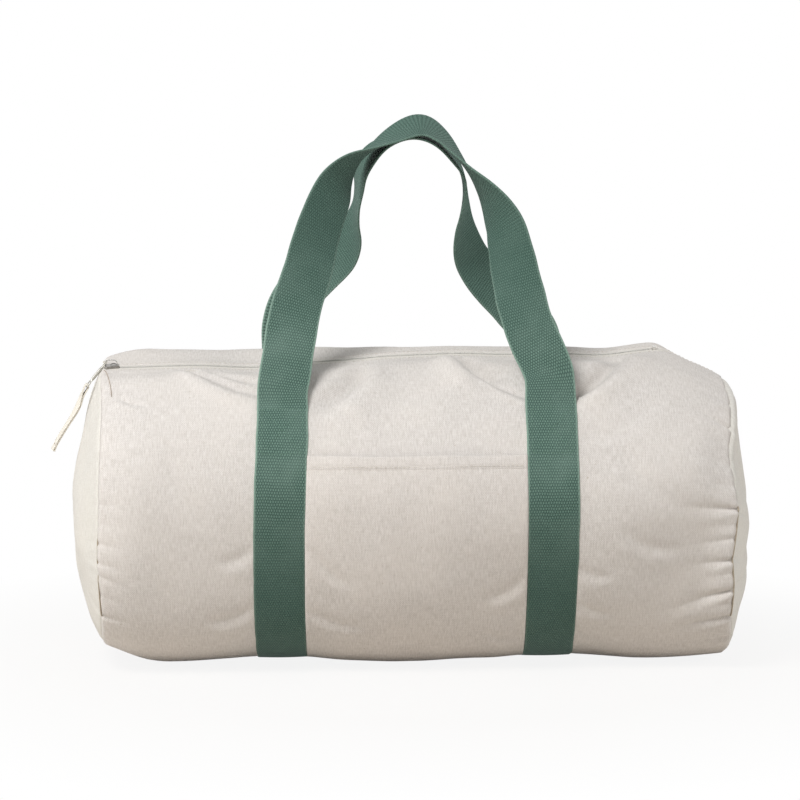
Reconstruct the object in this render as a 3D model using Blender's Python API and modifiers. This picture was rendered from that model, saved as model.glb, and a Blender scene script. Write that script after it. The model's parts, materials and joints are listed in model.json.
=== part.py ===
"""A soft barrel sports bag lying on its underside, with its zip closed.

The cotton body is one wrap of canvas between two round end panels. Two loops of
webbing go round it and rise into two carrying handles, and a coil zip with an
auto-lock slider and a cotton pull runs along the top. +X runs along the bag,
-Y is its front, +Z is up, and the origin is under the middle of the flat bottom.
"""
import math

import bpy
import bmesh
from mathutils import Matrix, Vector

# Barrel, in metres
LEFT_SEAM = -0.2415
RIGHT_SEAM = 0.2460
BARREL_DEPTH = 0.256
BARREL_HEIGHT = 0.2425
BOTTOM_SAG = 0.002
TOP_ROUNDNESS = 2.05
BOTTOM_ROUNDNESS = 2.6
LEFT_SHOULDER_LENGTH = 0.038
LEFT_SHOULDER_DROP = 0.0088
LEFT_FOOT_RISE = 0.0075
RIGHT_SHOULDER_LENGTH = 0.080
RIGHT_SHOULDER_DROP = 0.0230
RIGHT_FOOT_RISE = 0.0040
CANVAS = 0.0010
GAP = 0.0003
ANGLE_STEPS = 60
NEAR_ZIP_STEPS = 5

# End panels and the tape that binds their seams
LEFT_BULGE = 0.026
RIGHT_BULGE = 0.023
SEAM_ALLOWANCE = 0.007
DOME_RINGS = 4
BINDING_WIDTH = 0.0045
BINDING_THICKNESS = 0.0006

# Webbing and handles
WEBBING_WIDTH = 0.038
WEBBING_THICKNESS = 0.0018
STRAP_SPREAD = 0.1015
STRAP_TOP_STEPS = 8
STRAP_CINCH = 0.0050
CINCH_REACH = 0.045
HANDLE_RISE = 0.2065
HANDLE_STATIONS = 64

# Front pocket
POCKET_TOP_STEPS = 11
POCKET_BOTTOM_STEPS = 26
POCKET_HEM = 0.009
POCKET_HEM_FOLD = 0.0006
POCKET_SLACK = 0.0022
POCKET_CLOTH = 0.0009

# Zip: the line that it runs on, its opening and its pieces
ZIP_START_INSET = 0.0080
ZIP_START_SIDE = 0.0350
ZIP_START_DROP = 0.0115
ZIP_END_INSET = 0.0560
ZIP_END_SIDE = -0.0040
ZIP_END_DROP = 0.0012
ZIP_ROLL = math.radians(9.0)
ZIP_FLAT_HALF = 0.016
ZIP_BLEND_HALF = 0.050
ZIP_SLIT_HALF = 0.0060
ZIP_END_FADE = 0.030
TAPE_OUTER = 0.0140
TAPE_THICKNESS = 0.0005
COIL_RADIUS = 0.00075
COIL_OFFSET = 0.0009
CHAIN_PARTING = 0.0017
STOP_LENGTH = 0.0030
STOP_WIDTH = 0.0046
STOP_HEIGHT = 0.0024

# Slider, bridge and lock spring
SLIDER_HALF_LENGTH = 0.0055
SLIDER_NOSE_HALF = 0.0049
SLIDER_TAIL_HALF = 0.0031
PLATE_THICKNESS = 0.0010
POST_HALF = 0.0015
RUN_CLEARANCE = 0.0003
BRIDGE_WIDTH = 0.0022
BRIDGE_THICKNESS = 0.0006
BRIDGE_CLEAR_HEIGHT = 0.0036
NOSE_FULLNESS = 5
TAIL_FULLNESS = 2.4
SPRING_THICKNESS = 0.0003
SPRING_WIDTH = 0.0014

# Pull tab and cotton pull tape
TAB_TILT = math.radians(50.0)
TAB_THICKNESS = 0.0009
TAB_LENGTH = 0.0255
EYE_BAR = 0.0008
EYE_LENGTH = 0.0034
EYE_HALF = 0.0015
EYE_SIDE = 0.0008
TAB_NECK_HALF = 0.0016
LOOP_LENGTH = 0.0034
LOOP_HALF = 0.0038
LOOP_BAR = 0.0011
PULL_TAPE_TILT = math.radians(62.0)
PULL_TAPE_LENGTH = 0.058
PULL_TAPE_WIDTH = 0.0062
PULL_TAPE_PLY = 0.0011
PULL_LOOP_LENGTH = 0.013
PULL_LOOP_CLEARANCE = 0.0004

CURVE_BEVEL = 0.0002

# The handles' routes, from the left strap to the right one, chosen by hand.
# Each row is along, across and up, as shares of STRAP_SPREAD, of the hinges'
# distance from the middle, and of HANDLE_RISE, then the roll as a share of a
# right angle: at 0 the webbing faces outward, at 1 it faces the hand.
FRONT_HANDLE_SHARES = (
    (-1.000, 1.000, 0.000, 0.00), (-1.000, 0.945, 0.055, 0.00), (-0.975, 0.875, 0.125, 0.00),
    (-0.935, 0.755, 0.255, 0.03),
    (-0.885, 0.655, 0.365, 0.12), (-0.810, 0.555, 0.473, 0.24), (-0.735, 0.430, 0.617, 0.36),
    (-0.637, 0.292, 0.762, 0.56), (-0.528, 0.190, 0.857, 0.90), (-0.358, 0.115, 0.915, 1.08),
    (-0.172, 0.055, 0.966, 1.17), (0.021, 0.022, 0.992, 1.20), (0.190, 0.042, 0.962, 1.17),
    (0.330, 0.104, 0.897, 1.06), (0.462, 0.187, 0.831, 0.90), (0.577, 0.281, 0.762, 0.70),
    (0.652, 0.360, 0.690, 0.52), (0.700, 0.430, 0.617, 0.40), (0.750, 0.552, 0.473, 0.24),
    (0.795, 0.655, 0.365, 0.12), (0.855, 0.757, 0.256, 0.04), (0.975, 0.870, 0.130, 0.00),
    (1.000, 0.930, 0.070, 0.00), (1.000, 1.000, 0.000, 0.00))
BACK_HANDLE_SHARES = (
    (-1.000, 1.000, 0.000, 0.00), (-1.000, 0.935, 0.090, 0.00), (-0.990, 0.880, 0.190, 0.05),
    (-0.940, 0.825, 0.280, 0.13), (-0.865, 0.770, 0.350, 0.23), (-0.765, 0.720, 0.405, 0.35),
    (-0.645, 0.656, 0.465, 0.49), (-0.540, 0.573, 0.532, 0.65), (-0.457, 0.490, 0.600, 0.83),
    (-0.415, 0.396, 0.671, 0.97), (-0.395, 0.292, 0.749, 0.98), (-0.365, 0.187, 0.822, 0.94),
    (-0.292, 0.094, 0.889, 0.87), (-0.169, 0.035, 0.943, 0.82), (0.007, 0.005, 0.974, 0.80),
    (0.170, 0.022, 0.943, 0.82), (0.290, 0.094, 0.886, 0.87), (0.365, 0.187, 0.832, 0.94),
    (0.405, 0.292, 0.768, 0.98), (0.422, 0.385, 0.700, 0.93), (0.432, 0.469, 0.630, 0.79),
    (0.470, 0.542, 0.552, 0.63), (0.535, 0.604, 0.488, 0.49), (0.630, 0.656, 0.425, 0.37),
    (0.750, 0.719, 0.358, 0.26), (0.865, 0.771, 0.294, 0.17), (0.955, 0.830, 0.225, 0.09),
    (0.990, 0.885, 0.160, 0.04), (1.000, 0.935, 0.090, 0.00), (1.000, 1.000, 0.000, 0.00))

ZIP_LEFT = Vector((LEFT_SEAM + ZIP_START_INSET, -ZIP_START_SIDE, BARREL_HEIGHT - ZIP_START_DROP))
ZIP_RIGHT = Vector((RIGHT_SEAM - ZIP_END_INSET, -ZIP_END_SIDE, BARREL_HEIGHT - ZIP_END_DROP))
CENTRE_HEIGHT = BARREL_HEIGHT / 2
ANGLE_STEP = math.tau / ANGLE_STEPS
STRAP_TOP_ANGLE = STRAP_TOP_STEPS * ANGLE_STEP
TAPE_DEPTH = CANVAS + GAP
FLANGE_DEPTH = CANVAS + GAP
X_AXIS = Vector((1, 0, 0))
NUDGE = 0.0005


def clear_scene():
    for item in list(bpy.data.objects):
        bpy.data.objects.remove(item, do_unlink=True)


def new_collection(name):
    group = bpy.data.collections.new(name)
    bpy.context.scene.collection.children.link(group)
    return group


def new_material(name, colour, roughness, metallic=0.0):
    material = bpy.data.materials.new(name)
    material.use_nodes = True
    shader = material.node_tree.nodes["Principled BSDF"]
    shader.inputs["Base Color"].default_value = (*colour, 1.0)
    shader.inputs["Roughness"].default_value = roughness
    shader.inputs["Metallic"].default_value = metallic
    material.diffuse_color = (*colour, 1.0)
    return material


def smooth_step(low, high, value):
    share = min(max((value - low) / (high - low), 0.0), 1.0)
    return share * share * (3 - 2 * share)


def mix(first, second, share):
    return first + (second - first) * share


# The barrel's outer surface

def zip_point(x):
    share = (x - ZIP_LEFT.x) / (ZIP_RIGHT.x - ZIP_LEFT.x)
    return ZIP_LEFT.lerp(ZIP_RIGHT, share)


def zip_frame(origin):
    """A frame with X along the zip, Y across it to the back and Z out of the bag."""
    along = (ZIP_RIGHT - ZIP_LEFT).normalized()
    rolled = Vector((0, -math.sin(ZIP_ROLL), math.cos(ZIP_ROLL)))
    across = rolled.cross(along).normalized()
    out = along.cross(across)
    frame = Matrix((along, across, out)).transposed().to_4x4()
    frame.translation = origin
    return frame


ZIP_FRAME = zip_frame(ZIP_LEFT)
ZIP_FRAME_INVERSE = ZIP_FRAME.inverted()


def zip_angle(x, across):
    """The angle round the barrel of a place that lies across from the zip line."""
    point = zip_point(x)
    up = point.z - CENTRE_HEIGHT
    return math.atan2(-point.y, up) - across / math.hypot(point.y, up)


def shoulder_loss(x, lower):
    """How much the barrel's radius shrinks towards its end seams."""
    left = max(1 - (x - LEFT_SEAM) / LEFT_SHOULDER_LENGTH, 0)
    right = max(1 - (RIGHT_SEAM - x) / RIGHT_SHOULDER_LENGTH, 0)
    return (mix(LEFT_SHOULDER_DROP, LEFT_FOOT_RISE, lower) * left ** 2
            + mix(RIGHT_SHOULDER_DROP, RIGHT_FOOT_RISE, lower) * right ** 2)


def cinch_loss(x, angle):
    falloff = math.exp(-((abs(x) - STRAP_SPREAD) / CINCH_REACH) ** 2)
    from_top = math.acos(max(-1.0, min(1.0, math.cos(angle))))
    return STRAP_CINCH * falloff * smooth_step(STRAP_TOP_ANGLE, 2 * STRAP_TOP_ANGLE, from_top)


def skin(x, angle):
    """A point of the canvas's outer face; the angle goes from the top to the front."""
    lower = (1 - math.cos(angle)) / 2
    roundness = mix(TOP_ROUNDNESS, BOTTOM_ROUNDNESS, smooth_step(0, 1, lower))
    half_height = CENTRE_HEIGHT + BOTTOM_SAG * lower
    reach = ((2 * abs(math.sin(angle)) / BARREL_DEPTH) ** roundness
             + (abs(math.cos(angle)) / half_height) ** roundness) ** (-1 / roundness)
    reach -= shoulder_loss(x, lower) + cinch_loss(x, angle)
    point = Vector((x, -reach * math.sin(angle), CENTRE_HEIGHT + reach * math.cos(angle)))
    if math.cos(angle) > 0:
        local = ZIP_FRAME_INVERSE @ point
        hold = 1 - smooth_step(ZIP_FLAT_HALF, ZIP_BLEND_HALF, abs(local.y))
        hold *= 1 - smooth_step(ZIP_RIGHT.x, ZIP_RIGHT.x + ZIP_END_FADE, x)
        local.z *= 1 - hold
        point = ZIP_FRAME @ local
    point.z = max(point.z, 0.0)
    return point


def layer(x, angle, depth):
    """The same point, moved in from the outer face by a depth along its normal."""
    turn = NUDGE / CENTRE_HEIGHT
    round_way = skin(x, angle + turn) - skin(x, angle - turn)
    long_way = skin(x + NUDGE, angle) - skin(x - NUDGE, angle)
    return skin(x, angle) - round_way.cross(long_way).normalized() * depth


def stations(low, high, steps):
    return [mix(low, high, index / steps) for index in range(steps + 1)]


def barrel_stations():
    """Places along the bag where the layers have their rows, so that facets line up."""
    edge = WEBBING_WIDTH / 2
    left_start = LEFT_SEAM + LEFT_SHOULDER_LENGTH
    right_start = RIGHT_SEAM - RIGHT_SHOULDER_LENGTH
    left_flange = LEFT_SEAM + SEAM_ALLOWANCE
    right_flange = RIGHT_SEAM - SEAM_ALLOWANCE
    bounds = ((LEFT_SEAM, left_flange, 1), (left_flange, left_start, 3),
              (left_start, -STRAP_SPREAD - edge, 3),
              (-STRAP_SPREAD - edge, -STRAP_SPREAD + edge, 2),
              (-STRAP_SPREAD + edge, STRAP_SPREAD - edge, 5),
              (STRAP_SPREAD - edge, STRAP_SPREAD + edge, 2),
              (STRAP_SPREAD + edge, right_start, 2), (right_start, right_flange, 5),
              (right_flange, RIGHT_SEAM, 1))
    places = []
    for low, high, steps in bounds:
        places += stations(low, high, steps)[:-1]
    return places + [RIGHT_SEAM]


# Building blocks

def mesh_object(name, vertices, faces, material, group):
    mesh = bpy.data.meshes.new(name)
    mesh.from_pydata([tuple(vertex) for vertex in vertices], [], faces)
    mesh.materials.append(material)
    mesh.shade_smooth()
    mesh.set_sharp_from_angle(angle=math.radians(40))
    item = bpy.data.objects.new(name, mesh)
    group.objects.link(item)
    return item


def thicken(item, thickness, offset):
    shell = item.modifiers.new("thickness", "SOLIDIFY")
    shell.thickness = thickness
    shell.offset = offset
    shell.use_even_offset = True


def sheet(name, rows, thickness, material, group, closed=False, offset=-1.0):
    """A cloth sheet lofted through rows of points, thickened to one side."""
    count = len(rows[0])
    vertices = [point for row in rows for point in row]
    faces = []
    for row in range(len(rows) - 1):
        for column in range(count if closed else count - 1):
            after = (column + 1) % count
            faces.append((row * count + column, row * count + after,
                          (row + 1) * count + after, (row + 1) * count + column))
    item = mesh_object(name, vertices, faces, material, group)
    thicken(item, thickness, offset)
    return item


def flat_outline(name, loops, low, high, group, bevel=0.0):
    """A closed mesh from flat outlines, the first one outside and the rest holes."""
    data = bpy.data.curves.new(name, "CURVE")
    data.dimensions = "2D"
    data.fill_mode = "BOTH"
    data.extrude = (high - low) / 2 - bevel
    data.bevel_depth = bevel
    data.bevel_resolution = 0
    data.offset = -bevel
    for loop in loops:
        spline = data.splines.new("POLY")
        spline.points.add(len(loop) - 1)
        spline.use_cyclic_u = True
        for point, place in zip(spline.points, loop):
            point.co = (place[0], place[1], 0, 1)
    item = curve_to_mesh(name, data, group)
    item.data.transform(Matrix.Translation((0, 0, (high + low) / 2)))
    return item


def curve_to_mesh(name, data, group):
    curve = bpy.data.objects.new(name + "_curve", data)
    group.objects.link(curve)
    bpy.context.view_layer.update()
    evaluated = curve.evaluated_get(bpy.context.evaluated_depsgraph_get())
    mesh = bpy.data.meshes.new_from_object(evaluated)
    mesh.name = name
    work = bmesh.new()
    work.from_mesh(mesh)
    bmesh.ops.remove_doubles(work, verts=work.verts, dist=GAP / 100)
    bmesh.ops.recalc_face_normals(work, faces=work.faces)
    work.to_mesh(mesh)
    work.free()
    item = bpy.data.objects.new(name, mesh)
    group.objects.link(item)
    item.matrix_world = curve.matrix_world
    bpy.data.objects.remove(curve, do_unlink=True)
    return item


def set_material(item, material):
    item.data.materials.clear()
    item.data.materials.append(material)


def place_under(item, parent):
    item.parent = parent


def boolean(item, tool, operation):
    cut = item.modifiers.new(operation.lower(), "BOOLEAN")
    cut.operation = operation
    cut.object = tool
    cut.solver = "EXACT"
    tool.hide_render = True
    tool.display_type = "WIRE"


def tube(name, points, radius, material, group):
    data = bpy.data.curves.new(name, "CURVE")
    data.dimensions = "3D"
    data.bevel_depth = radius
    data.bevel_resolution = 2
    data.use_fill_caps = True
    spline = data.splines.new("POLY")
    spline.points.add(len(points) - 1)
    for point, place in zip(spline.points, points):
        point.co = (*place, 1)
    item = curve_to_mesh(name, data, group)
    set_material(item, material)
    item.data.shade_smooth()
    return item


# Canvas pieces

def wrap_angles(x):
    """Angles of the canvas's columns, from the zip's front edge round to its back edge."""
    last_front = STRAP_TOP_STEPS - 1
    first_back = ANGLE_STEPS - STRAP_TOP_STEPS + 1
    front = zip_angle(x, -TAPE_OUTER - GAP)
    back = zip_angle(x, TAPE_OUTER + GAP) + math.tau
    angles = [zip_angle(x, -ZIP_SLIT_HALF)]
    angles += stations(front, last_front * ANGLE_STEP, NEAR_ZIP_STEPS - 1)[:-1]
    angles += [step * ANGLE_STEP for step in range(last_front, first_back)]
    angles += stations(first_back * ANGLE_STEP, back, NEAR_ZIP_STEPS)
    return angles + [zip_angle(x, ZIP_SLIT_HALF) + math.tau]


def ring(x, depth):
    """A closed ring of points under the canvas's columns, with one more in the slit."""
    angles = wrap_angles(x) + [zip_angle(x, 0) + math.tau]
    return [layer(x, angle, flange_depth(x, angle) + depth) for angle in angles]


def body_panel(material, group):
    """One wrap of canvas from the front edge of the zip, under the bag, to the back edge."""
    rows = [[skin(x, angle) for angle in wrap_angles(x)] for x in barrel_stations()]
    return sheet("body_panel", rows, CANVAS, material, group)


def flange_depth(x, angle):
    """How deep the end panels' turned-in edge lies; it dips under the zip's slider."""
    dip = TAPE_THICKNESS + 2 * GAP + PLATE_THICKNESS + RUN_CLEARANCE
    point = ZIP_FRAME_INVERSE @ skin(x, angle)
    near = 1 - smooth_step(TAPE_OUTER, 2 * TAPE_OUTER, abs(point.y))
    return FLANGE_DEPTH + dip * near * (math.cos(angle) > 0)


def end_panel(name, seam, bulge, side, material, group):
    """A round panel with a shallow dome and its seam allowance turned into the barrel."""
    rows = [ring(seam - side * SEAM_ALLOWANCE, 0)]
    rim = ring(seam, 0)
    middle = Vector((seam, 0, CENTRE_HEIGHT))
    for step in range(DOME_RINGS):
        share = 1 - step / DOME_RINGS
        reach = bulge * (1 - share * share)
        rows.append([middle + (point - middle) * share + X_AXIS * side * reach for point in rim])
    if side < 0:
        rows = [row[::-1] for row in rows]
    count = len(rim)
    vertices = [point for row in rows for point in row] + [middle + X_AXIS * side * bulge]
    faces = []
    for row in range(len(rows) - 1):
        for column in range(count):
            after = (column + 1) % count
            faces.append((row * count + column, row * count + after,
                          (row + 1) * count + after, (row + 1) * count + column))
    last = (len(rows) - 1) * count
    for column in range(count):
        faces.append((last + column, last + (column + 1) % count, len(vertices) - 1))
    item = mesh_object(name, vertices, faces, material, group)
    thicken(item, CANVAS, -1.0)
    return item


def seam_binding(name, seam, side, material, group):
    """A ring of cotton tape on the inside of the seam allowance."""
    edge = seam - side * (SEAM_ALLOWANCE - BINDING_WIDTH)
    inner = seam - side * SEAM_ALLOWANCE
    rows = [ring(x, CANVAS + 2 * GAP) for x in (inner, edge)]
    if side < 0:
        rows = [row[::-1] for row in rows]
    return sheet(name, rows, BINDING_THICKNESS, material, group, closed=True)


def front_pocket(material, group):
    """An open-topped pocket between the straps, with a folded hem along its mouth."""
    edge = STRAP_SPREAD - WEBBING_WIDTH / 2 - GAP
    inside = [x for x in barrel_stations() if abs(x) < edge - GAP]
    columns = [-edge] + inside + [edge]
    mouth = POCKET_TOP_STEPS * ANGLE_STEP
    foot = POCKET_BOTTOM_STEPS * ANGLE_STEP
    hem = POCKET_HEM / CENTRE_HEIGHT
    step_width = POCKET_HEM_FOLD / CENTRE_HEIGHT
    angles = [mouth, mouth + hem / 2, mouth + hem, mouth + hem + step_width]
    angles += [step * ANGLE_STEP for step in range(POCKET_TOP_STEPS + 1, POCKET_BOTTOM_STEPS + 1)]
    angles = sorted(angle for angle in angles)
    rows = []
    for x in columns:
        row = []
        for angle in angles:
            slack = POCKET_SLACK * (1 - (x / edge) ** 2)
            slack *= (foot - angle) / (foot - mouth)
            fold = POCKET_HEM_FOLD if angle < mouth + hem + step_width / 2 else 0.0
            row.append(layer(x, angle, -(GAP + POCKET_CLOTH + slack + fold)))
        rows.append(row)
    return sheet("front_pocket", rows, POCKET_CLOTH, material, group)


# Webbing

def strap(name, side, material, group):
    """Webbing sewn round the barrel, from the top of one stitched box to the other."""
    centre = side * STRAP_SPREAD
    edge = WEBBING_WIDTH / 2
    top = STRAP_TOP_ANGLE
    start = top + GAP / CENTRE_HEIGHT
    angles = [start] + [step * ANGLE_STEP
                        for step in range(STRAP_TOP_STEPS + 1, ANGLE_STEPS - STRAP_TOP_STEPS)]
    angles.append(math.tau - start)
    rows = []
    for x in (centre - edge, centre, centre + edge):
        rows.append([layer(x, angle, -GAP - WEBBING_THICKNESS) for angle in angles])
    return sheet(name, rows, WEBBING_THICKNESS, material, group)


def handle_hinge(side):
    """A point on the line that a handle folds about, on the outer face of the webbing."""
    angle = STRAP_TOP_ANGLE if side < 0 else math.tau - STRAP_TOP_ANGLE
    return layer(STRAP_SPREAD, angle, -GAP - WEBBING_THICKNESS - GAP / 2)


def curve_value(table, position):
    """A smooth curve through the rows of a table, read at a fractional row number."""
    index = min(int(position), len(table) - 2)
    share = position - index
    before = table[max(index - 1, 0)]
    start = table[index]
    end = table[index + 1]
    after = table[min(index + 2, len(table) - 1)]
    values = []
    for p0, p1, p2, p3 in zip(before, start, end, after):
        bend = (p2 - p0) * share + (2 * p0 - 5 * p1 + 4 * p2 - p3) * share ** 2
        values.append(p1 + (bend + (3 * p1 - p0 - 3 * p2 + p3) * share ** 3) / 2)
    return values


def handle(name, shares, side, material, group):
    """A loop of webbing that twists a quarter turn from each strap up to the grip."""
    hinge = handle_hinge(side)
    table = [(along * STRAP_SPREAD, across * abs(hinge.y) * side, hinge.z + up * HANDLE_RISE, roll)
             for along, across, up, roll in shares]
    route = [curve_value(table, position)
             for position in stations(0, len(table) - 1, HANDLE_STATIONS)]
    places = [Vector(values[:3]) for values in route]
    outward = Vector((0, side, 0))
    rows = []
    for index, place in enumerate(places):
        before = places[max(index - 1, 0)]
        after = places[min(index + 1, len(places) - 1)]
        along = (after - before).normalized()
        out = (outward - along * outward.dot(along)).normalized()
        inward = along.cross(out) * -side
        roll = route[index][3] * math.pi / 2
        face = out * math.cos(roll) + inward * math.sin(roll)
        across = along.cross(face).normalized() * WEBBING_WIDTH / 2
        middle = place - face * WEBBING_THICKNESS / 2
        if index == 0:
            middle += along * GAP
        if index == len(places) - 1:
            middle -= along * GAP
        rows.append([middle - across, middle, middle + across])
    return sheet(name, rows, WEBBING_THICKNESS, material, group, offset=0.0)


# Zip

def chain_shift(along):
    """How far each half of the zip's chain stands off the middle, inside the slider."""
    return CHAIN_PARTING * smooth_step(GAP, -SLIDER_HALF_LENGTH, along)


def chain_stations():
    nose = ZIP_LEFT.x - SLIDER_HALF_LENGTH
    inside = stations(nose, ZIP_LEFT.x + SLIDER_HALF_LENGTH, 8)
    return inside + stations(ZIP_LEFT.x + 2 * SLIDER_HALF_LENGTH, ZIP_RIGHT.x, 3)


def zip_tape(name, side, material, group):
    """Half of the zip's woven tape, under the canvas's folded edge."""
    left_end = LEFT_SEAM + GAP
    fade = [x for x in barrel_stations()[:-1] if x > ZIP_RIGHT.x + GAP] + [RIGHT_SEAM - GAP]
    rows = []
    for x in [left_end] + chain_stations() + fade:
        inner = COIL_OFFSET / 2 + chain_shift(x - ZIP_LEFT.x)
        row = []
        for across in (inner, ZIP_SLIT_HALF, TAPE_OUTER):
            row.append(layer(x, zip_angle(x, side * across), TAPE_DEPTH))
        rows.append(row if side < 0 else row[::-1])
    return sheet(name, rows, TAPE_THICKNESS, material, group)


def zip_coil(name, side, material, group):
    """Half of the closed coil, as the round cord that its turns fill."""
    points = []
    for x in chain_stations():
        along = x - ZIP_LEFT.x
        across = side * (COIL_OFFSET + chain_shift(along))
        points.append(ZIP_FRAME @ Vector((along, across, GAP + COIL_RADIUS - TAPE_DEPTH)))
    return tube(name, points, COIL_RADIUS, material, group)


def zip_stop(material, group):
    """The clamp at the open end of the chain, which ends the slider's travel."""
    bpy.ops.mesh.primitive_cube_add(size=1)
    item = bpy.context.object
    item.name = "zip_stop"
    item.data.name = "zip_stop"
    for owner in list(item.users_collection):
        owner.objects.unlink(item)
    group.objects.link(item)
    item.data.transform(Matrix.Diagonal((STOP_LENGTH, STOP_WIDTH, STOP_HEIGHT, 1)))
    round_edge = item.modifiers.new("rounding", "BEVEL")
    round_edge.width = STOP_HEIGHT / 6
    round_edge.segments = 2
    along = (ZIP_RIGHT - ZIP_LEFT).length + STOP_LENGTH / 2 + 2 * GAP
    height = STOP_HEIGHT / 2 - TAPE_DEPTH + 2 * GAP
    item.matrix_world = ZIP_FRAME @ Matrix.Translation((along, 0, height))
    set_material(item, material)
    return item


# Slider, built in the zip's own frame about the middle of the slider

def slider_levels():
    """The slider's floor, the tape slot's top, the channel's top and the top face."""
    floor = -TAPE_DEPTH - TAPE_THICKNESS - RUN_CLEARANCE
    slot_top = -TAPE_DEPTH + RUN_CLEARANCE
    channel_top = -TAPE_DEPTH + GAP + 2 * COIL_RADIUS + RUN_CLEARANCE
    return floor, slot_top, channel_top, channel_top + PLATE_THICKNESS


def slider_body(parent, material, group, cutters):
    """A cast slider: two plates joined by a wedge that parts the two coils."""
    floor, slot_top, channel_top, top = slider_levels()
    nose, tail = -SLIDER_HALF_LENGTH, SLIDER_HALF_LENGTH
    corner = SLIDER_HALF_LENGTH / 5
    outline = ((nose + corner, SLIDER_NOSE_HALF), (nose, SLIDER_NOSE_HALF - corner),
               (nose, corner - SLIDER_NOSE_HALF), (nose + corner, -SLIDER_NOSE_HALF),
               (0, -SLIDER_TAIL_HALF - corner / 2), (tail - corner / 2, -SLIDER_TAIL_HALF),
               (tail, corner - SLIDER_TAIL_HALF), (tail, SLIDER_TAIL_HALF - corner),
               (tail - corner / 2, SLIDER_TAIL_HALF), (0, SLIDER_TAIL_HALF + corner / 2))
    item = flat_outline("slider_body", [outline], floor - PLATE_THICKNESS, top, group, CURVE_BEVEL)
    past = PLATE_THICKNESS
    lane = COIL_RADIUS + RUN_CLEARANCE
    tail_lane = COIL_OFFSET + lane
    nose_lane = COIL_OFFSET + CHAIN_PARTING + lane
    channel = ((tail + past, tail_lane), (0, tail_lane + RUN_CLEARANCE), (nose, nose_lane),
               (nose - past, nose_lane), (nose - past, POST_HALF), (nose + past, POST_HALF),
               (-corner, GAP / 4), (-corner, -GAP / 4), (nose + past, -POST_HALF),
               (nose - past, -POST_HALF), (nose - past, -nose_lane), (nose, -nose_lane),
               (0, -tail_lane - RUN_CLEARANCE), (tail + past, -tail_lane))
    channel_tool = flat_outline("slider_channel_cutter", [channel], floor, channel_top, cutters)
    wide = SLIDER_NOSE_HALF + past
    slot = ((tail + past, wide), (nose - past, wide), (nose - past, POST_HALF),
            (nose + past, POST_HALF), (-corner, GAP / 4), (-corner, -GAP / 4),
            (nose + past, -POST_HALF),
            (nose - past, -POST_HALF), (nose - past, -wide), (tail + past, -wide))
    slot_tool = flat_outline("slider_tape_slot_cutter", [slot], floor, slot_top, cutters)
    boolean(item, channel_tool, "DIFFERENCE")
    boolean(item, slot_tool, "DIFFERENCE")
    for piece in (item, channel_tool, slot_tool):
        place_under(piece, parent)
    set_material(item, material)
    return item


def arch(low, high, left, right, thickness, steps=12):
    """An arch's side outline, upright at its left foot and sloping to its right one."""
    middle = (left + right) / 2
    half = (right - left) / 2
    outer, inner = [], []
    for step in range(steps + 1):
        turn = math.pi * step / steps
        fullness = NOSE_FULLNESS if turn < math.pi / 2 else TAIL_FULLNESS
        wide = math.copysign(abs(math.cos(turn)) ** (2 / fullness), math.cos(turn))
        tall = math.sin(turn) ** (2 / fullness) if 0 < step < steps else 0
        outer.append((middle - half * wide, low + (high - low) * tall))
        inner.append((middle - (half - thickness) * wide, low + (high - thickness - low) * tall))
    return outer + inner[::-1]


def stand_up(item):
    """Turns a flat outline so that its second direction becomes height."""
    item.data.transform(Matrix.Rotation(math.pi / 2, 4, "X"))


def slider_bridge(parent, material, group):
    """The arched cover crimped on the slider, which the pull tab's eye hangs from."""
    top = slider_levels()[3]
    low = top + GAP
    high = low + BRIDGE_CLEAR_HEIGHT + BRIDGE_THICKNESS
    outline = arch(low, high, -SLIDER_HALF_LENGTH, SLIDER_HALF_LENGTH - PLATE_THICKNESS,
                   BRIDGE_THICKNESS)
    half = BRIDGE_WIDTH / 2
    item = flat_outline("slider_bridge", [outline], -half, half, group, CURVE_BEVEL / 2)
    stand_up(item)
    place_under(item, parent)
    set_material(item, material)
    return item


def slider_spring(parent, material, group):
    """The leaf that lies under the bridge and locks the coil when the pull is let go."""
    low = slider_levels()[3] + GAP
    rise = BRIDGE_CLEAR_HEIGHT / 4
    inner = SLIDER_HALF_LENGTH - PLATE_THICKNESS - BRIDGE_THICKNESS - GAP
    start = -inner / 3
    steps = 6
    lower, upper = [], []
    for step in range(steps + 1):
        share = step / steps
        place = mix(start, inner, share)
        lift = low + rise * math.sin(math.pi * share)
        lower.append((place, lift))
        upper.append((place, lift + SPRING_THICKNESS))
    half = SPRING_WIDTH / 2
    item = flat_outline("slider_spring", [lower + upper[::-1]], -half, half, group)
    stand_up(item)
    place_under(item, parent)
    set_material(item, material)
    return item


def tab_pivot():
    """The middle of the tab's eye bar, inside the nose end of the bridge."""
    height = BRIDGE_CLEAR_HEIGHT - TAB_THICKNESS
    middle = -PLATE_THICKNESS / 2
    half = SLIDER_HALF_LENGTH - PLATE_THICKNESS / 2 - BRIDGE_THICKNESS
    wall = (1 - (height / BRIDGE_CLEAR_HEIGHT) ** NOSE_FULLNESS) ** (1 / NOSE_FULLNESS)
    along = middle - half * wall + math.hypot(EYE_BAR, TAB_THICKNESS) / 2 + RUN_CLEARANCE / 2
    return Vector((along, 0, slider_levels()[3] + GAP + height))


def rounded(points, corner):
    """Cuts each corner of a closed outline by a small chamfer."""
    result = []
    for index, place in enumerate(points):
        here = Vector(place)
        before = Vector(points[index - 1]) - here
        after = Vector(points[(index + 1) % len(points)]) - here
        for way in (before, after):
            cut = min(corner, way.length / 3)
            result.append(tuple(here + way.normalized() * cut))
    return result


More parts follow.
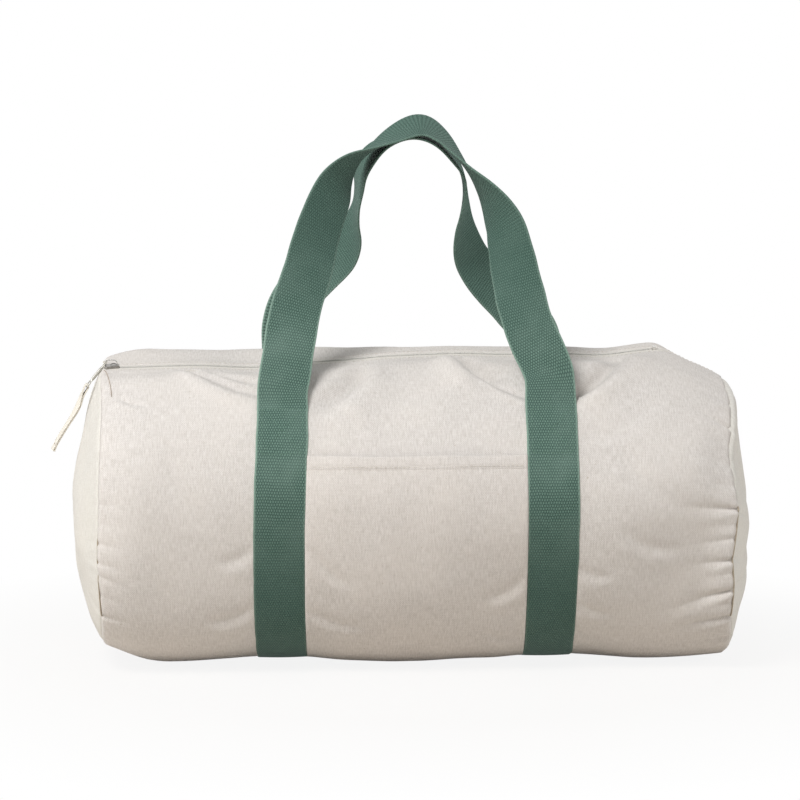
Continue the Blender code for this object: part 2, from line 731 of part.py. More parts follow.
def pull_tab(parent, material, group):
    """A cast tab: an eye round the bridge, a tapered bar and a loop for the tape."""
    eye_half = EYE_HALF + EYE_SIDE
    loop_half = LOOP_HALF + LOOP_BAR
    loop_start = TAB_LENGTH - LOOP_LENGTH - 2 * LOOP_BAR
    start = -EYE_BAR / 2
    eye_end = EYE_LENGTH + EYE_BAR
    outer = ((start, eye_half), (start, -eye_half), (eye_end, -eye_half),
             (eye_end + eye_half - TAB_NECK_HALF, -TAB_NECK_HALF),
             (loop_start - loop_half + TAB_NECK_HALF, -TAB_NECK_HALF),
             (loop_start, -loop_half), (TAB_LENGTH, -loop_half), (TAB_LENGTH, loop_half),
             (loop_start, loop_half), (loop_start - loop_half + TAB_NECK_HALF, TAB_NECK_HALF),
             (eye_end + eye_half - TAB_NECK_HALF, TAB_NECK_HALF), (eye_end, eye_half))
    eye = ((EYE_BAR / 2, EYE_HALF), (EYE_BAR / 2, -EYE_HALF), (EYE_LENGTH, -EYE_HALF),
           (EYE_LENGTH, EYE_HALF))
    loop_low = loop_start + LOOP_BAR
    loop_high = loop_low + LOOP_LENGTH
    loop = ((loop_low, LOOP_HALF), (loop_low, -LOOP_HALF), (loop_high, -LOOP_HALF),
            (loop_high, LOOP_HALF))
    corner = EYE_BAR / 2
    loops = [rounded(outer, corner), rounded(eye, corner / 2), rounded(loop, corner / 2)]
    half = TAB_THICKNESS / 2
    item = flat_outline("pull_tab", loops, -half, half, group, CURVE_BEVEL)
    place_under(item, parent)
    set_material(item, material)
    return item


def pull_tape(parent, material, group):
    """A cotton tape folded through the tab's loop and sewn into one strip."""
    bar = LOOP_BAR / 2 + PULL_LOOP_CLEARANCE
    bar = max(bar, TAB_THICKNESS / 2 + PULL_LOOP_CLEARANCE)
    steps = 8
    outer, inner = [], []
    for step in range(steps + 1):
        turn = math.pi / 2 + math.pi * step / steps
        outer.append(((bar + PULL_TAPE_PLY) * math.cos(turn), (bar + PULL_TAPE_PLY) * math.sin(turn)))
        inner.append((bar * math.cos(turn), bar * math.sin(turn)))
    straight = 5
    lower_outer, lower_inner = [], []
    for step in range(1, straight + 1):
        share = step / straight
        half = PULL_TAPE_PLY + bar * (1 - smooth_step(0, 1, share))
        place = PULL_LOOP_LENGTH * share
        lower_outer.append((place, -half))
        if step < straight:
            lower_inner.append((place, PULL_TAPE_PLY - half))
    outer += lower_outer + [(PULL_TAPE_LENGTH, -PULL_TAPE_PLY), (PULL_TAPE_LENGTH, PULL_TAPE_PLY)]
    outer += [(place, -height) for place, height in lower_outer[::-1]]
    inner += lower_inner + [(PULL_LOOP_LENGTH * (1 - 1 / straight / 3), 0)]
    inner += [(place, -height) for place, height in lower_inner[::-1]]
    half = PULL_TAPE_WIDTH / 2
    item = flat_outline("pull_tape", [outer, inner], -half, half, group)
    stand_up(item)
    place_under(item, parent)
    set_material(item, material)
    return item


def empty(name, matrix, group):
    item = bpy.data.objects.new(name, None)
    item.empty_display_size = WEBBING_WIDTH
    item.matrix_world = matrix
    group.objects.link(item)
    return item


def pull_frames():
    """Frames of the slider, the tab and the tape, each with X along its piece."""
    slider = ZIP_FRAME.copy()
    tab = slider @ Matrix.Translation(tab_pivot()) @ Matrix.Rotation(math.pi - TAB_TILT, 4, "Y")
    loop_middle = TAB_LENGTH - LOOP_BAR / 2
    turn = TAB_TILT - PULL_TAPE_TILT
    tape = tab @ Matrix.Translation((loop_middle, 0, 0)) @ Matrix.Rotation(turn, 4, "Y")
    return slider, tab, tape


def build():
    clear_scene()
    group = new_collection("sports_bag")
    cutters = new_collection("cutters")
    canvas = new_material("canvas", (0.78, 0.74, 0.68), 0.9)
    end_canvas = new_material("end_canvas", (0.80, 0.78, 0.71), 0.9)
    pocket_canvas = new_material("pocket_canvas", (0.77, 0.73, 0.67), 0.9)
    webbing = new_material("webbing", (0.10, 0.21, 0.15), 0.85)
    handle_webbing = new_material("handle_webbing", (0.11, 0.22, 0.16), 0.85)
    tape = new_material("zip_tape", (0.76, 0.73, 0.68), 0.8)
    coil = new_material("zip_coil", (0.72, 0.70, 0.65), 0.45)
    binding = new_material("binding", (0.74, 0.71, 0.64), 0.9)
    metal = new_material("slider_metal", (0.55, 0.54, 0.52), 0.3, 1.0)
    bridge_metal = new_material("bridge_metal", (0.60, 0.59, 0.57), 0.25, 1.0)
    spring_steel = new_material("spring_steel", (0.42, 0.42, 0.42), 0.3, 1.0)
    tab_metal = new_material("tab_metal", (0.62, 0.61, 0.59), 0.3, 1.0)
    cotton = new_material("pull_cotton", (0.76, 0.68, 0.57), 0.9)

    body_panel(canvas, group)
    end_panel("end_panel_left", LEFT_SEAM, LEFT_BULGE, -1, end_canvas, group)
    end_panel("end_panel_right", RIGHT_SEAM, RIGHT_BULGE, 1, end_canvas, group)
    seam_binding("seam_binding_left", LEFT_SEAM, -1, binding, group)
    seam_binding("seam_binding_right", RIGHT_SEAM, 1, binding, group)
    front_pocket(pocket_canvas, group)
    strap("webbing_left", -1, webbing, group)
    strap("webbing_right", 1, webbing, group)
    zip_tape("zip_tape_front", -1, tape, group)
    zip_tape("zip_tape_back", 1, tape, group)
    zip_coil("zip_coil_front", -1, coil, group)
    zip_coil("zip_coil_back", 1, coil, group)
    zip_stop(metal, group)

    slider_frame, tab_frame, tape_frame = pull_frames()
    slider_origin = empty("slider_origin", slider_frame, group)
    tab_origin = empty("tab_axis", tab_frame, group)
    tape_origin = empty("tape_axis", tape_frame, group)
    slider_body(slider_origin, metal, group, cutters)
    slider_bridge(slider_origin, bridge_metal, group)
    slider_spring(slider_origin, spring_steel, group)
    pull_tab(tab_origin, tab_metal, group)
    pull_tape(tape_origin, cotton, group)

    for name, shares, side in (("handle_front", FRONT_HANDLE_SHARES, -1),
                               ("handle_back", BACK_HANDLE_SHARES, 1)):
        item = handle(name, shares, side, handle_webbing, group)
        hinge = handle_hinge(side)
        hinge.x = 0
        axis = empty(name + "_axis", Matrix.Translation(hinge), group)
        item.parent = axis
        item.matrix_parent_inverse = Matrix.Translation(-hinge)


build()
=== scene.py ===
"""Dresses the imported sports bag: canvas, webbing, zip, slider, cotton pull and threads.

The bag's soft solids are replaced by finer sheets on the same surfaces, and the
slider's metal solids keep their shapes and get materials. All lengths are metres.
"""

import json
from math import cos, pi, radians, sin, tan, tau

import bpy
import numpy as np
from mathutils import Matrix, Vector, noise

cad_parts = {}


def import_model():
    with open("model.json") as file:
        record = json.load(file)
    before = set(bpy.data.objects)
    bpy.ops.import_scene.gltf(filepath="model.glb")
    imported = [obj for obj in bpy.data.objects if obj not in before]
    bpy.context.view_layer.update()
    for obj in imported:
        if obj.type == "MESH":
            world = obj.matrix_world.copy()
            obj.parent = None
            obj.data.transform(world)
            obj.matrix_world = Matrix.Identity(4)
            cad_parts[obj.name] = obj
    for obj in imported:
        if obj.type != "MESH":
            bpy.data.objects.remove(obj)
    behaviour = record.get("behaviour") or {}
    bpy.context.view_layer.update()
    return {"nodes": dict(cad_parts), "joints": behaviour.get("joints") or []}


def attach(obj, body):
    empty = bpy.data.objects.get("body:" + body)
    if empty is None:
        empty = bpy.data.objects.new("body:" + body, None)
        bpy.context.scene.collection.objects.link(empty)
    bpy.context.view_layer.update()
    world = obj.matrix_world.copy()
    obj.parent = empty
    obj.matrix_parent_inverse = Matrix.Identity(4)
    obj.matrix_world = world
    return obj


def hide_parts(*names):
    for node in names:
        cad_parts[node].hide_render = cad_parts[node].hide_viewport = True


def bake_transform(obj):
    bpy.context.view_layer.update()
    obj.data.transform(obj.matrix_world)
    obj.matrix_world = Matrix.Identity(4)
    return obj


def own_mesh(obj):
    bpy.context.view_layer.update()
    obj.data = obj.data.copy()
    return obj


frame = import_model()

# The bag's main sizes, the same as the solids have
LEFT_SEAM, RIGHT_SEAM = -0.2415, 0.246
DEPTH, HEIGHT, SAG = 0.256, 0.2425, 0.002
MIDDLE = HEIGHT / 2
TOP_ROUNDNESS, BOTTOM_ROUNDNESS = 2.05, 2.6
STRAP_X = 0.1015
WEBBING, WEBBING_THICK = 0.038, 0.0018
CINCH, CINCH_REACH = 0.005, 0.045
# How the barrel narrows to its seams: the length, then how much at its top and bottom
LEFT_TAPER, RIGHT_TAPER = (0.038, 0.0088, 0.0075), (0.08, 0.023, 0.004)
CORNER_LIFT = 0.0075
GAP = 0.0003
ZIP_LEFT = Vector((LEFT_SEAM + 0.008, -0.035, HEIGHT - 0.0115))
ZIP_RIGHT = Vector((RIGHT_SEAM - 0.056, 0.004, HEIGHT - 0.0012))
ZIP_ROLL = radians(9)
ZIP_FLAT, ZIP_BLEND, ZIP_FADE = 0.016, 0.05, 0.03

# The angle where the straps end and the handles start
TOP_ANGLE = radians(48)
# The barrel's mean radius, by which angles become metres of cloth
ARC = 0.123
# From the zip's middle to the canvas's edge
SLIT = 0.006
CANVAS_THICK = 0.0009
SEAM_SINK = 0.0026
TAPE_HALF, TAPE_LIFT = 0.014, -0.00085
# The webbing as drawn, a little wider than its solid
RIBBON_WIDTH = 0.0388
ENDS = (("left", -1), ("right", 1))
FACES = (("front", -1), ("back", 1))


# Small helpers

def smooth(low, high, value):
    share = np.clip((value - low) / (high - low), 0, 1)
    return share * share * (3 - 2 * share)


def mix(first, second, share):
    return first + (second - first) * share


def bell(value, middle, width):
    return np.exp(-((value - middle) / width) ** 2)


def unit(vectors):
    return vectors / np.maximum(np.linalg.norm(vectors, axis=-1, keepdims=True), 1e-12)


def lumps(x, y, size, seed):
    """Smooth noise from -1 to 1 over two coordinates."""
    flat = [noise.noise(Vector((a / size, b / size, seed))) for a, b in zip(np.ravel(x), np.ravel(y))]
    return np.array(flat).reshape(np.shape(x)) * 1.6


def full_turn(count):
    return np.linspace(0, tau, count, endpoint=False)


def running_length(points):
    """A line's length from its first point to each point."""
    steps = np.linalg.norm(np.diff(points, axis=0), axis=1)
    return np.concatenate(([0], np.cumsum(steps)))


def relax(rows, times, kept=1):
    """Evens out a line in place, apart from the rows kept at each end."""
    inside, after = slice(kept, -kept), slice(kept + 1, len(rows) - kept + 1)
    for _ in range(times):
        rows[inside] = (rows[kept - 1:-kept - 1] + 2 * rows[inside] + rows[after]) / 4


def zip_axes():
    along = (ZIP_RIGHT - ZIP_LEFT).normalized()
    rolled = Vector((0, -sin(ZIP_ROLL), cos(ZIP_ROLL)))
    across = rolled.cross(along).normalized()
    return np.array((along, across, along.cross(across)))


ZIP_AXES = zip_axes()
ZIP_ORIGIN = np.array(ZIP_LEFT)

# Waves of the soft zip's line: height, middle and width
ZIP_WAVES = ((0.0022, 0.036, 0.028), (0.0024, -0.012, 0.036), (-0.0034, -0.122, 0.034),
             (-0.0034, 0.15, 0.028))


def zip_angle(x, across):
    share = (x - ZIP_LEFT.x) / (ZIP_RIGHT.x - ZIP_LEFT.x)
    y = mix(ZIP_LEFT.y, ZIP_RIGHT.y, share)
    up = mix(ZIP_LEFT.z, ZIP_RIGHT.z, share) - MIDDLE
    return np.arctan2(-y, up) - across / np.hypot(y, up)


def zip_lift(x):
    """How far the soft zip rides above or below its straight line."""
    waves = sum(height * bell(x, middle, width) for height, middle, width in ZIP_WAVES)
    return waves - 0.001 * np.exp(-((x - 0.02) / 0.12) ** 4)


def zip_hollow(x, across):
    """How far the cloth drops behind the middle of the zip."""
    return 0.0026 * bell(x, -0.008, 0.042) * smooth(0.009, 0.026, across)


# Folds: x in millimetres and angle in degrees at both ends, then depth and half width in millimetres
FOLDS = (
    (-178, 19, -115, 43, 4.4, 8.5), (-158, 22, -117, 37, 3.2, 6), (-228, 41, -206, 47, 1.5, 3.5),
    (-78, 47, -38, 22, 5.2, 11), (-70, 34, -30, 18, 1, 7), (40, 11, 60, 34, 7, 14),
    (50, 29, 88, 45, 2.6, 4.6), (117, 43, 150, 23, 3.2, 9), (124, 62, 190, 40, 1.2, 10),
    (-80, 98, -50, 112, 1.2, 7), (-82, 122, -40, 128, 1.5, 6), (52, 118, 82, 108, 1.5, 7),
    (50, 132, 84, 136, 1.4, 6), (120, 106, 146, 110, 1.3, 6.5), (120, 120, 150, 126, 1.4, 6.5),
    (120, 134, 146, 140, 1.3, 6.5), (-150, 104, -122, 98, 1.2, 7), (-160, 126, -122, 120, 1.6, 7),
    (-190, 64, -150, 92, 1, 12), (150, 66, 200, 84, 1.3, 11), (150, 92, 200, 100, 1.3, 8),
    (-45, 60, -62, 48, 0.9, 8), (-20, 44, 30, 36, 0.8, 10), (42, 15, 68, 38, 3.4, 14),
    (110, 46, 164, 7, 6.4, 12.5), (-76, 51, -36, 26, 3.4, 14))

# Puckers sewn into the end seams: angle in degrees, depth, half width and reach in millimetres,
# and lean in degrees
LEFT_PUCKERS = (
    (38, 0.9, 3, 16, -2), (60, 0.4, 3.6, 16, 0), (83, 0.9, 2, 15, 2), (90, 0.5, 2.6, 16, 3),
    (97, 1.3, 1.8, 16, 3), (104, 1.4, 1.8, 14, 3), (109, 0.9, 1.8, 16, 4), (116, 0.6, 2.4, 18, 4),
    (125, 2, 1.6, 16, 2), (134, 0.9, 2.4, 22, 0), (147, 1.2, 3, 26, -2), (160, 1.1, 3.6, 24, 0),
    (176, 1.3, 3.4, 26, 2), (190, 1.1, 3.2, 24, -2), (205, 1.6, 2.8, 30, 0), (219, 1.2, 3, 24, 3),
    (233, 1.7, 2.6, 30, -3), (247, 1.2, 3.4, 24, 2), (262, 1.6, 2.6, 28, -2), (280, 1.1, 3.4, 22, 2),
    (296, 1.3, 3, 24, 0), (314, 0.9, 3.6, 20, 2))
RIGHT_PUCKERS = (
    (22, 1, 3.6, 26, -3), (37, 1.2, 3.4, 30, -3), (52, 3, 2, 18, -6), (60, 0.8, 3.2, 22, -2),
    (69, 0.9, 3.4, 26, -3), (77, 1, 2.6, 22, 0), (86, 3.6, 1.7, 34, -1), (92, 0.8, 2.4, 20, 0),
    (97, 1.7, 2, 26, 2), (105, 3.4, 1.7, 20, 2), (110, 0.8, 2.6, 22, 2), (116, 4.2, 1.7, 36, 6),
    (121, 0.8, 2.6, 22, 3), (127, 3.8, 1.7, 32, 4), (133, 0.7, 2.6, 26, 4), (138, 2.6, 1.9, 34, 3),
    (146, 1.2, 2.8, 30, 3), (156, 1.3, 3.2, 28, 2), (166, 1.2, 3.4, 28, 0), (177, 1.6, 3.6, 32, -2),
    (189, 1.2, 3.4, 26, 0), (203, 2.2, 2.4, 34, 3), (216, 1.2, 3.2, 28, -2), (229, 2.6, 2.2, 36, 0),
    (243, 1.2, 3.2, 28, 3), (258, 2.4, 2.2, 34, -3), (274, 1.2, 3.2, 26, 0), (292, 1.8, 2.8, 30, 2),
    (310, 1.2, 3.4, 26, -2), (330, 1.1, 3.6, 24, 0))


def around(angle, other):
    """The shortest way round from one angle to another, in metres of cloth."""
    return (np.mod(angle - other + pi, tau) - pi) * ARC


def pucker(distance, angle, puckers):
    """Depth of the sewn puckers at a distance from their seam."""
    total = np.zeros(np.shape(angle))
    for degrees, depth, width, reach, lean in puckers:
        wide = width / 1000 + 0.11 * distance
        off = around(angle, radians(degrees)) - tan(radians(lean * 3)) * distance
        share = off / wide
        shape = -np.exp(-1.2 * np.abs(share) ** 1.35) + 0.2 * bell(share, 2, 1.1)
        total += depth / 1000 * shape * np.exp(-(distance / (reach / 1000)) ** 1.5)
    return total


def band(low, high, blend, angle):
    """1 between two angles and 0 outside, with a soft step at both."""
    return smooth(low - blend, low + blend, angle) * (1 - smooth(high - blend, high + blend, angle))


def relief(x, angle):
    """The cloth's folds, puckers and slow unevenness."""
    run = angle * ARC
    height = 0.001 * lumps(x, run, 0.085, 3.1) + 0.0005 * lumps(x, run, 0.034, 8.7)
    for x0, a0, x1, a1, depth, width in FOLDS:
        start = np.array((x0 / 1000, radians(a0) * ARC))
        way = np.array((x1 / 1000, radians(a1) * ARC)) - start
        length = np.hypot(*way)
        way /= length
        dx, ds = x - start[0], run - start[1]
        share = (dx * way[0] + ds * way[1]) / length
        bow = 0.1 * length * np.sin(pi * np.clip(share, 0, 1))
        off = (dx * way[1] - ds * way[0] + bow) / (width / 1000)
        ends = smooth(-0.12, 0.25, share) * (1 - smooth(0.7, 1.15, share))
        shape = -np.exp(-(off * 1.4) ** 2) + 0.65 * np.exp(-(off + 1.25) ** 2)
        height += depth / 1000 * shape * ends
    for gap, puckers in ((x - LEFT_SEAM, LEFT_PUCKERS), (RIGHT_SEAM - x, RIGHT_PUCKERS)):
        height += pucker(gap, angle, puckers) - 0.0016 * np.clip(1 - gap / 0.0035, 0, 1) ** 2
    from_zip = np.abs(around(angle, zip_angle(x, 0)))
    height *= 1 - (1 - smooth(0.01, 0.022, from_zip)) * smooth(-0.3, -0.22, -np.abs(x))
    height -= 0.0005 * (1 - smooth(SLIT, SLIT + 0.0022, from_zip))
    under = band(radians(156), radians(204), radians(6), angle)
    height = np.where(under > 0, mix(height, np.minimum(height, 0), under), height)
    over = band(TOP_ANGLE, tau - TOP_ANGLE, 0.05, angle)
    for _, side in ENDS:
        near = np.abs(x - strap_middle(side, np.mod(angle, tau)))
        height *= 1 - over * (1 - smooth(WEBBING / 2 - 0.002, WEBBING / 2 + 0.005, near))
    return height


def slump(x, angle):
    """How the soft barrel stands proud along its front and hollows below it."""
    degrees = np.degrees(np.mod(angle + pi, tau) - pi)
    share = 0.35 + 0.65 * smooth(-0.2, 0.14, x)
    ridge = 92 - 15 * smooth(0.13, 0.24, x)
    right = smooth(0.06, 0.15, x)
    proud = 0.0058 * bell(degrees, ridge - 6, 17)
    proud -= (0.0042 + 0.003 * right) * bell(degrees, ridge + 27 + 9 * right, 19 + 4 * right)
    behind = 0.006 * bell(degrees, -24, 20) * bell(x, 0.165, 0.055)
    behind += 0.002 * bell(degrees, -12, 18) * bell(x, -0.17, 0.06)
    return proud * share * smooth(0, 0.03, RIGHT_SEAM - x) * smooth(0, 0.04, x - LEFT_SEAM) - behind


# Drift of the end seams: angle in degrees and millimetres towards the bag's middle
LEFT_DRIFT = ((0, 0), (35, 0.8), (50, 2.2), (70, 1.8), (97, 1), (106, 0.6), (125, 2), (140, 0.8),
              (180, 0), (360, 0))
RIGHT_DRIFT = ((0, 1), (35, 2), (52, 5), (64, 8.5), (75, 5.5), (86, 3), (96, 5), (105, 7.5), (115, 5.5),
               (127, 6), (138, 3), (180, 2), (260, 4), (360, 1))


def seam_drift(x, angle):
    """The seams wander where their gathers pull them in."""
    degrees = np.degrees(np.mod(angle, tau))
    left = np.interp(degrees, *zip(*LEFT_DRIFT)) * bell(x, LEFT_SEAM, 0.03)
    right = np.interp(degrees, *zip(*RIGHT_DRIFT)) * bell(x, RIGHT_SEAM, 0.045)
    return (left - right) / 1000


def skin(x, angle):
    """The smooth barrel's outer face; the angle goes from the top to the front."""
    x, angle = np.broadcast_arrays(np.asarray(x, float), np.asarray(angle, float))
    lower = (1 - np.cos(angle)) / 2
    power = mix(TOP_ROUNDNESS, BOTTOM_ROUNDNESS, smooth(0, 1, lower))
    tall = MIDDLE + SAG * lower
    reach = ((2 * np.abs(np.sin(angle)) / DEPTH) ** power
             + (np.abs(np.cos(angle)) / tall) ** power) ** (-1 / power)
    for gap, (length, top, bottom) in ((x - LEFT_SEAM, LEFT_TAPER), (RIGHT_SEAM - x, RIGHT_TAPER)):
        reach -= mix(top, bottom, lower) * np.maximum(1 - gap / length, 0) ** 2
    from_top = np.arccos(np.clip(np.cos(angle), -1, 1))
    cinched = bell(np.abs(x), STRAP_X, CINCH_REACH) * smooth(TOP_ANGLE, 2 * TOP_ANGLE, from_top)
    reach = reach - CINCH * cinched + slump(x, angle)
    x = x + seam_drift(x, angle)
    point = np.stack((x, -reach * np.sin(angle), MIDDLE + reach * np.cos(angle)), -1)
    local = (point - ZIP_ORIGIN) @ ZIP_AXES.T
    hold = 1 - smooth(ZIP_FLAT, ZIP_BLEND, np.abs(local[..., 1]))
    hold *= (1 - smooth(ZIP_RIGHT.x, ZIP_RIGHT.x + ZIP_FADE, x)) * (np.cos(angle) > 0)
    local[..., 2] = mix(local[..., 2], zip_lift(x) - zip_hollow(x, local[..., 1]), hold)
    point = local @ ZIP_AXES + ZIP_ORIGIN
    point[..., 2] = np.maximum(point[..., 2], 0)
    point[..., 2] += CORNER_LIFT * smooth(-0.19, LEFT_SEAM, x) * (1 - smooth(0, 0.06, point[..., 2]))
    return point


def normals(x, angle):
    step = 0.0006
    turn = step / ARC
    round_way = skin(x, angle + turn) - skin(x, angle - turn)
    long_way = skin(x + step, angle) - skin(x - step, angle)
    return unit(np.cross(round_way, long_way))


def cloth(x, angle, lift=0.0, wrinkled=True):
    """Points over the barrel, at a height above its cloth."""
    x, angle = np.broadcast_arrays(np.asarray(x, float), np.asarray(angle, float))
    height = relief(x, angle) if wrinkled else 0.0
    return skin(x, angle) + normals(x, angle) * np.asarray(height + lift)[..., None]


# Materials

def new_material(name, colour, roughness, metallic=0.0, sheen=0.0):
    material = bpy.data.materials.new(name)
    material.use_nodes = True
    shader = material.node_tree.nodes["Principled BSDF"]
    values = {"Base Color": (*colour, 1), "Roughness": roughness, "Metallic": metallic, "Sheen Weight": sheen}
    for key, value in values.items():
        shader.inputs[key].default_value = value
    return material, material.node_tree, shader


def node(tree, kind, inputs=(), **settings):
    item = tree.nodes.new("ShaderNode" + kind)
    for name, value in settings.items():
        setattr(item, name, value)
    for key, value in dict(inputs).items():
        if isinstance(value, bpy.types.NodeSocket):
            tree.links.new(value, item.inputs[key])
        else:
            item.inputs[key].default_value = value
    return item


def maths(operation, first, second=0.0, third=0.0):
    return node(first.id_data, "Math", {0: first, 1: second, 2: third}, operation=operation).outputs[0]


def blend_colour(share, first, second):
    """Mixes two colours, each one a socket or three numbers."""
    pair = [value if isinstance(value, bpy.types.NodeSocket) else (*value, 1) for value in (first, second)]
    return node(share.id_data, "Mix", {0: share, 6: pair[0], 7: pair[1]}, data_type="RGBA").outputs[2]


def remap(value, low, high, to_low=0.0, to_high=1.0):
    limits = {0: value, 1: low, 2: high, 3: to_low, 4: to_high}
    return node(value.id_data, "MapRange", limits, clamp=True).outputs[0]


def object_place(tree):
    return node(tree, "TexCoord").outputs["Object"]


def cloth_coordinates(tree):
    """Metres along and across the cloth, kept as the mesh's UV map."""
    coordinates = node(tree, "UVMap", uv_map="cloth")
    parts = node(tree, "SeparateXYZ", {0: coordinates.outputs[0]})
    return coordinates.outputs[0], parts.outputs[0], parts.outputs[1]


def noise_at(vector, size, detail=2.0, stretch=(1, 1, 1), roughness=0.55):
    tree = vector.id_data
    scaled = node(tree, "Mapping", {0: vector, 3: tuple(s / size for s in stretch)})
    values = {"Vector": scaled.outputs[0], "Scale": 1.0, "Detail": detail, "Roughness": roughness}
    return node(tree, "TexNoise", values).outputs[0]


def thread_wave(value, pitch):
    return maths("SINE", maths("MULTIPLY", value, pi / pitch))


def surface(shader, colour, height, distance, strength=1.0):
    """Gives the shader its colour and its fine relief."""
    tree = shader.id_data
    tree.links.new(colour, shader.inputs["Base Color"])
    item = node(tree, "Bump", {"Strength": strength, "Distance": distance, "Height": height})
    tree.links.new(item.outputs[0], shader.inputs["Normal"])


def canvas_material(name, light, dark):
    """Plain-weave cotton with uneven yarns and small flecks."""
    thread, yarn = 0.00085, 0.0011
    material, tree, shader = new_material(name, light, 0.92, sheen=0.08)
    vector, u, v = cloth_coordinates(tree)
    waves = []
    for way, stretch in ((u, (0.25, 1, 1)), (v, (1, 0.25, 1))):
        wander = noise_at(vector, 0.004, 2, stretch)
        waves.append(thread_wave(maths("MULTIPLY_ADD", wander, 0.0005, way), thread))
    slub_long = noise_at(vector, yarn, 3, (0.16, 1, 1), 0.7)
    slub_round = noise_at(vector, yarn, 3, (1, 0.16, 1), 0.7)
    slubs = maths("MULTIPLY_ADD", slub_long, 0.65, maths("MULTIPLY", slub_round, 1.35))
    grain = maths("MULTIPLY_ADD", maths("MULTIPLY", *waves), 0.22, slubs)
    patches = noise_at(vector, 0.06, 3, roughness=0.5)
    flecks = noise_at(vector, 0.0016, 1, (0.5, 1, 1))
    colour = blend_colour(remap(grain, 0.62, 1.38), dark, light)
    warm = np.multiply(light, (0.97, 0.945, 0.905))
    colour = blend_colour(remap(patches, 0.4, 0.75, 0, 0.35), colour, warm)
    fleck = np.multiply(dark, (0.8, 0.72, 0.6))
    colour = blend_colour(remap(flecks, 0.74, 0.8, 0, 0.6), colour, fleck)
    surface(shader, colour, grain, 0.00035, 0.55)
    return material


EDGE_MINT = (0.27, 0.4, 0.33)
WEB_DARK, WEB_LIGHT = (0.03, 0.075, 0.057), (0.166, 0.28, 0.229)


def webbing_material(name, bead_share, row_share):
    """Heavy cotton webbing; its outer face is beaded and its inner face ribbed."""
    end_pitch, pick_pitch, half_handle = 0.00096, 0.0022, 0.275
    material, tree, shader = new_material(name, WEB_DARK, 0.88, sheen=0.05)
    vector, u, v = cloth_coordinates(tree)
    wander = noise_at(vector, 0.007, 2)
    ends = thread_wave(maths("MULTIPLY_ADD", wander, 0.0005, v), end_pitch)
    picks = thread_wave(maths("MULTIPLY_ADD", wander, 0.0012, u), pick_pitch)
    beads = remap(maths("MULTIPLY", ends, picks), -0.35, 0.75)
    rows = maths("ABSOLUTE", picks)
    height = maths("MULTIPLY_ADD", rows, row_share, maths("MULTIPLY", beads, bead_share))
    fuzz = noise_at(vector, 0.0008, 3, roughness=0.7)
    height = maths("MULTIPLY_ADD", fuzz, 0.3, height)
    patches = noise_at(vector, 0.035, 2)
    colour = blend_colour(remap(height, 0.25, 1.02), WEB_DARK, WEB_LIGHT)
    faded = mix(np.array(WEB_LIGHT), 0.5, 0.1)
    colour = blend_colour(remap(patches, 0.42, 0.75, 0, 0.3), colour, faded)
    colour = blend_colour(remap(maths("ABSOLUTE", v), 0.0176, 0.0186, 0, 0.75), colour, EDGE_MINT)
    # Painted shade: darker and greener over the middle of each length of webbing, the grip's top and the
    # straps' run under the bag, where shade falls
    from_middle = maths("ABSOLUTE", maths("SUBTRACT", u, half_handle))
    painted_shade = remap(from_middle, 0.215, 0.13, 0, 0.6)
    colour = blend_colour(painted_shade, colour, np.multiply(WEB_DARK, 1.12))
    surface(shader, colour, height, 0.0008, 0.7)
    return material


def thread_material(name, colour):
    material, tree, shader = new_material(name, colour, 0.75, sheen=0.1)
    twist = noise_at(object_place(tree), 0.0006, 2)
    tone = blend_colour(remap(twist, 0.3, 0.7), np.multiply(colour, 0.72), colour)
    surface(shader, tone, twist, 0.0001)
    return material


def tape_material(name, light, dark, thread=0.0007, relief_depth=0.0002):
    """Narrow woven tape with a fine herringbone."""
    material, tree, shader = new_material(name, light, 0.85)
    vector, u, v = cloth_coordinates(tree)
    weave = thread_wave(maths("ADD", u, maths("PINGPONG", v, 0.0022)), thread)
    height = maths("MULTIPLY_ADD", weave, 0.3, noise_at(vector, 0.0009, 2))
    tone = blend_colour(remap(height, 0.2, 0.8), dark, light)
    surface(shader, tone, height, relief_depth, 0.8)
    return material


def metal_material(name, colour, roughness):
    """Plated zinc: satin, with fine marks."""
    material, tree, shader = new_material(name, colour, roughness, 1.0)
    marks = noise_at(object_place(tree), 0.0008, 4, roughness=0.7)
    tone = blend_colour(remap(marks, 0.35, 0.7), np.multiply(colour, 0.62), colour)
    dull = remap(marks, 0.3, 0.75, roughness - 0.08, roughness + 0.18)
    tree.links.new(dull, shader.inputs["Roughness"])
    surface(shader, tone, marks, 0.00005, 0.5)
    return material


CANVAS_CLOTH = canvas_material("canvas_cloth", (0.835, 0.8, 0.77), (0.56, 0.52, 0.48))
END_CLOTH = canvas_material("end_cloth", (0.85, 0.832, 0.785), (0.64, 0.612, 0.555))
POCKET_CLOTH = canvas_material("pocket_cloth", (0.825, 0.785, 0.752), (0.55, 0.508, 0.466))
WEB_OUTER = webbing_material("webbing_outer", 0.62, 0.3)
WEB_INNER = webbing_material("webbing_inner", 0.3, 0.62)
GREEN_THREAD = thread_material("green_thread", (0.135, 0.255, 0.19))
CREAM_THREAD = thread_material("cream_thread", (0.74, 0.69, 0.6))
BROWN_THREAD = thread_material("brown_thread", (0.36, 0.26, 0.17))
# Brown for the painted shade in the end seams' gaps
SEAM_SHADE_BROWN = thread_material("painted_seam_shade", (0.5, 0.42, 0.32))
ZIP_CLOTH = tape_material("zip_cloth", (0.86, 0.83, 0.78), (0.7, 0.66, 0.6))
PULL_CLOTH = tape_material("pull_cloth", (0.8, 0.765, 0.69), (0.77, 0.725, 0.64), 0.0009, 0.00003)
BINDING_CLOTH = tape_material("binding_cloth", (0.74, 0.7, 0.62), (0.52, 0.48, 0.4))
COIL_NYLON = thread_material("coil_nylon", (0.86, 0.84, 0.79))
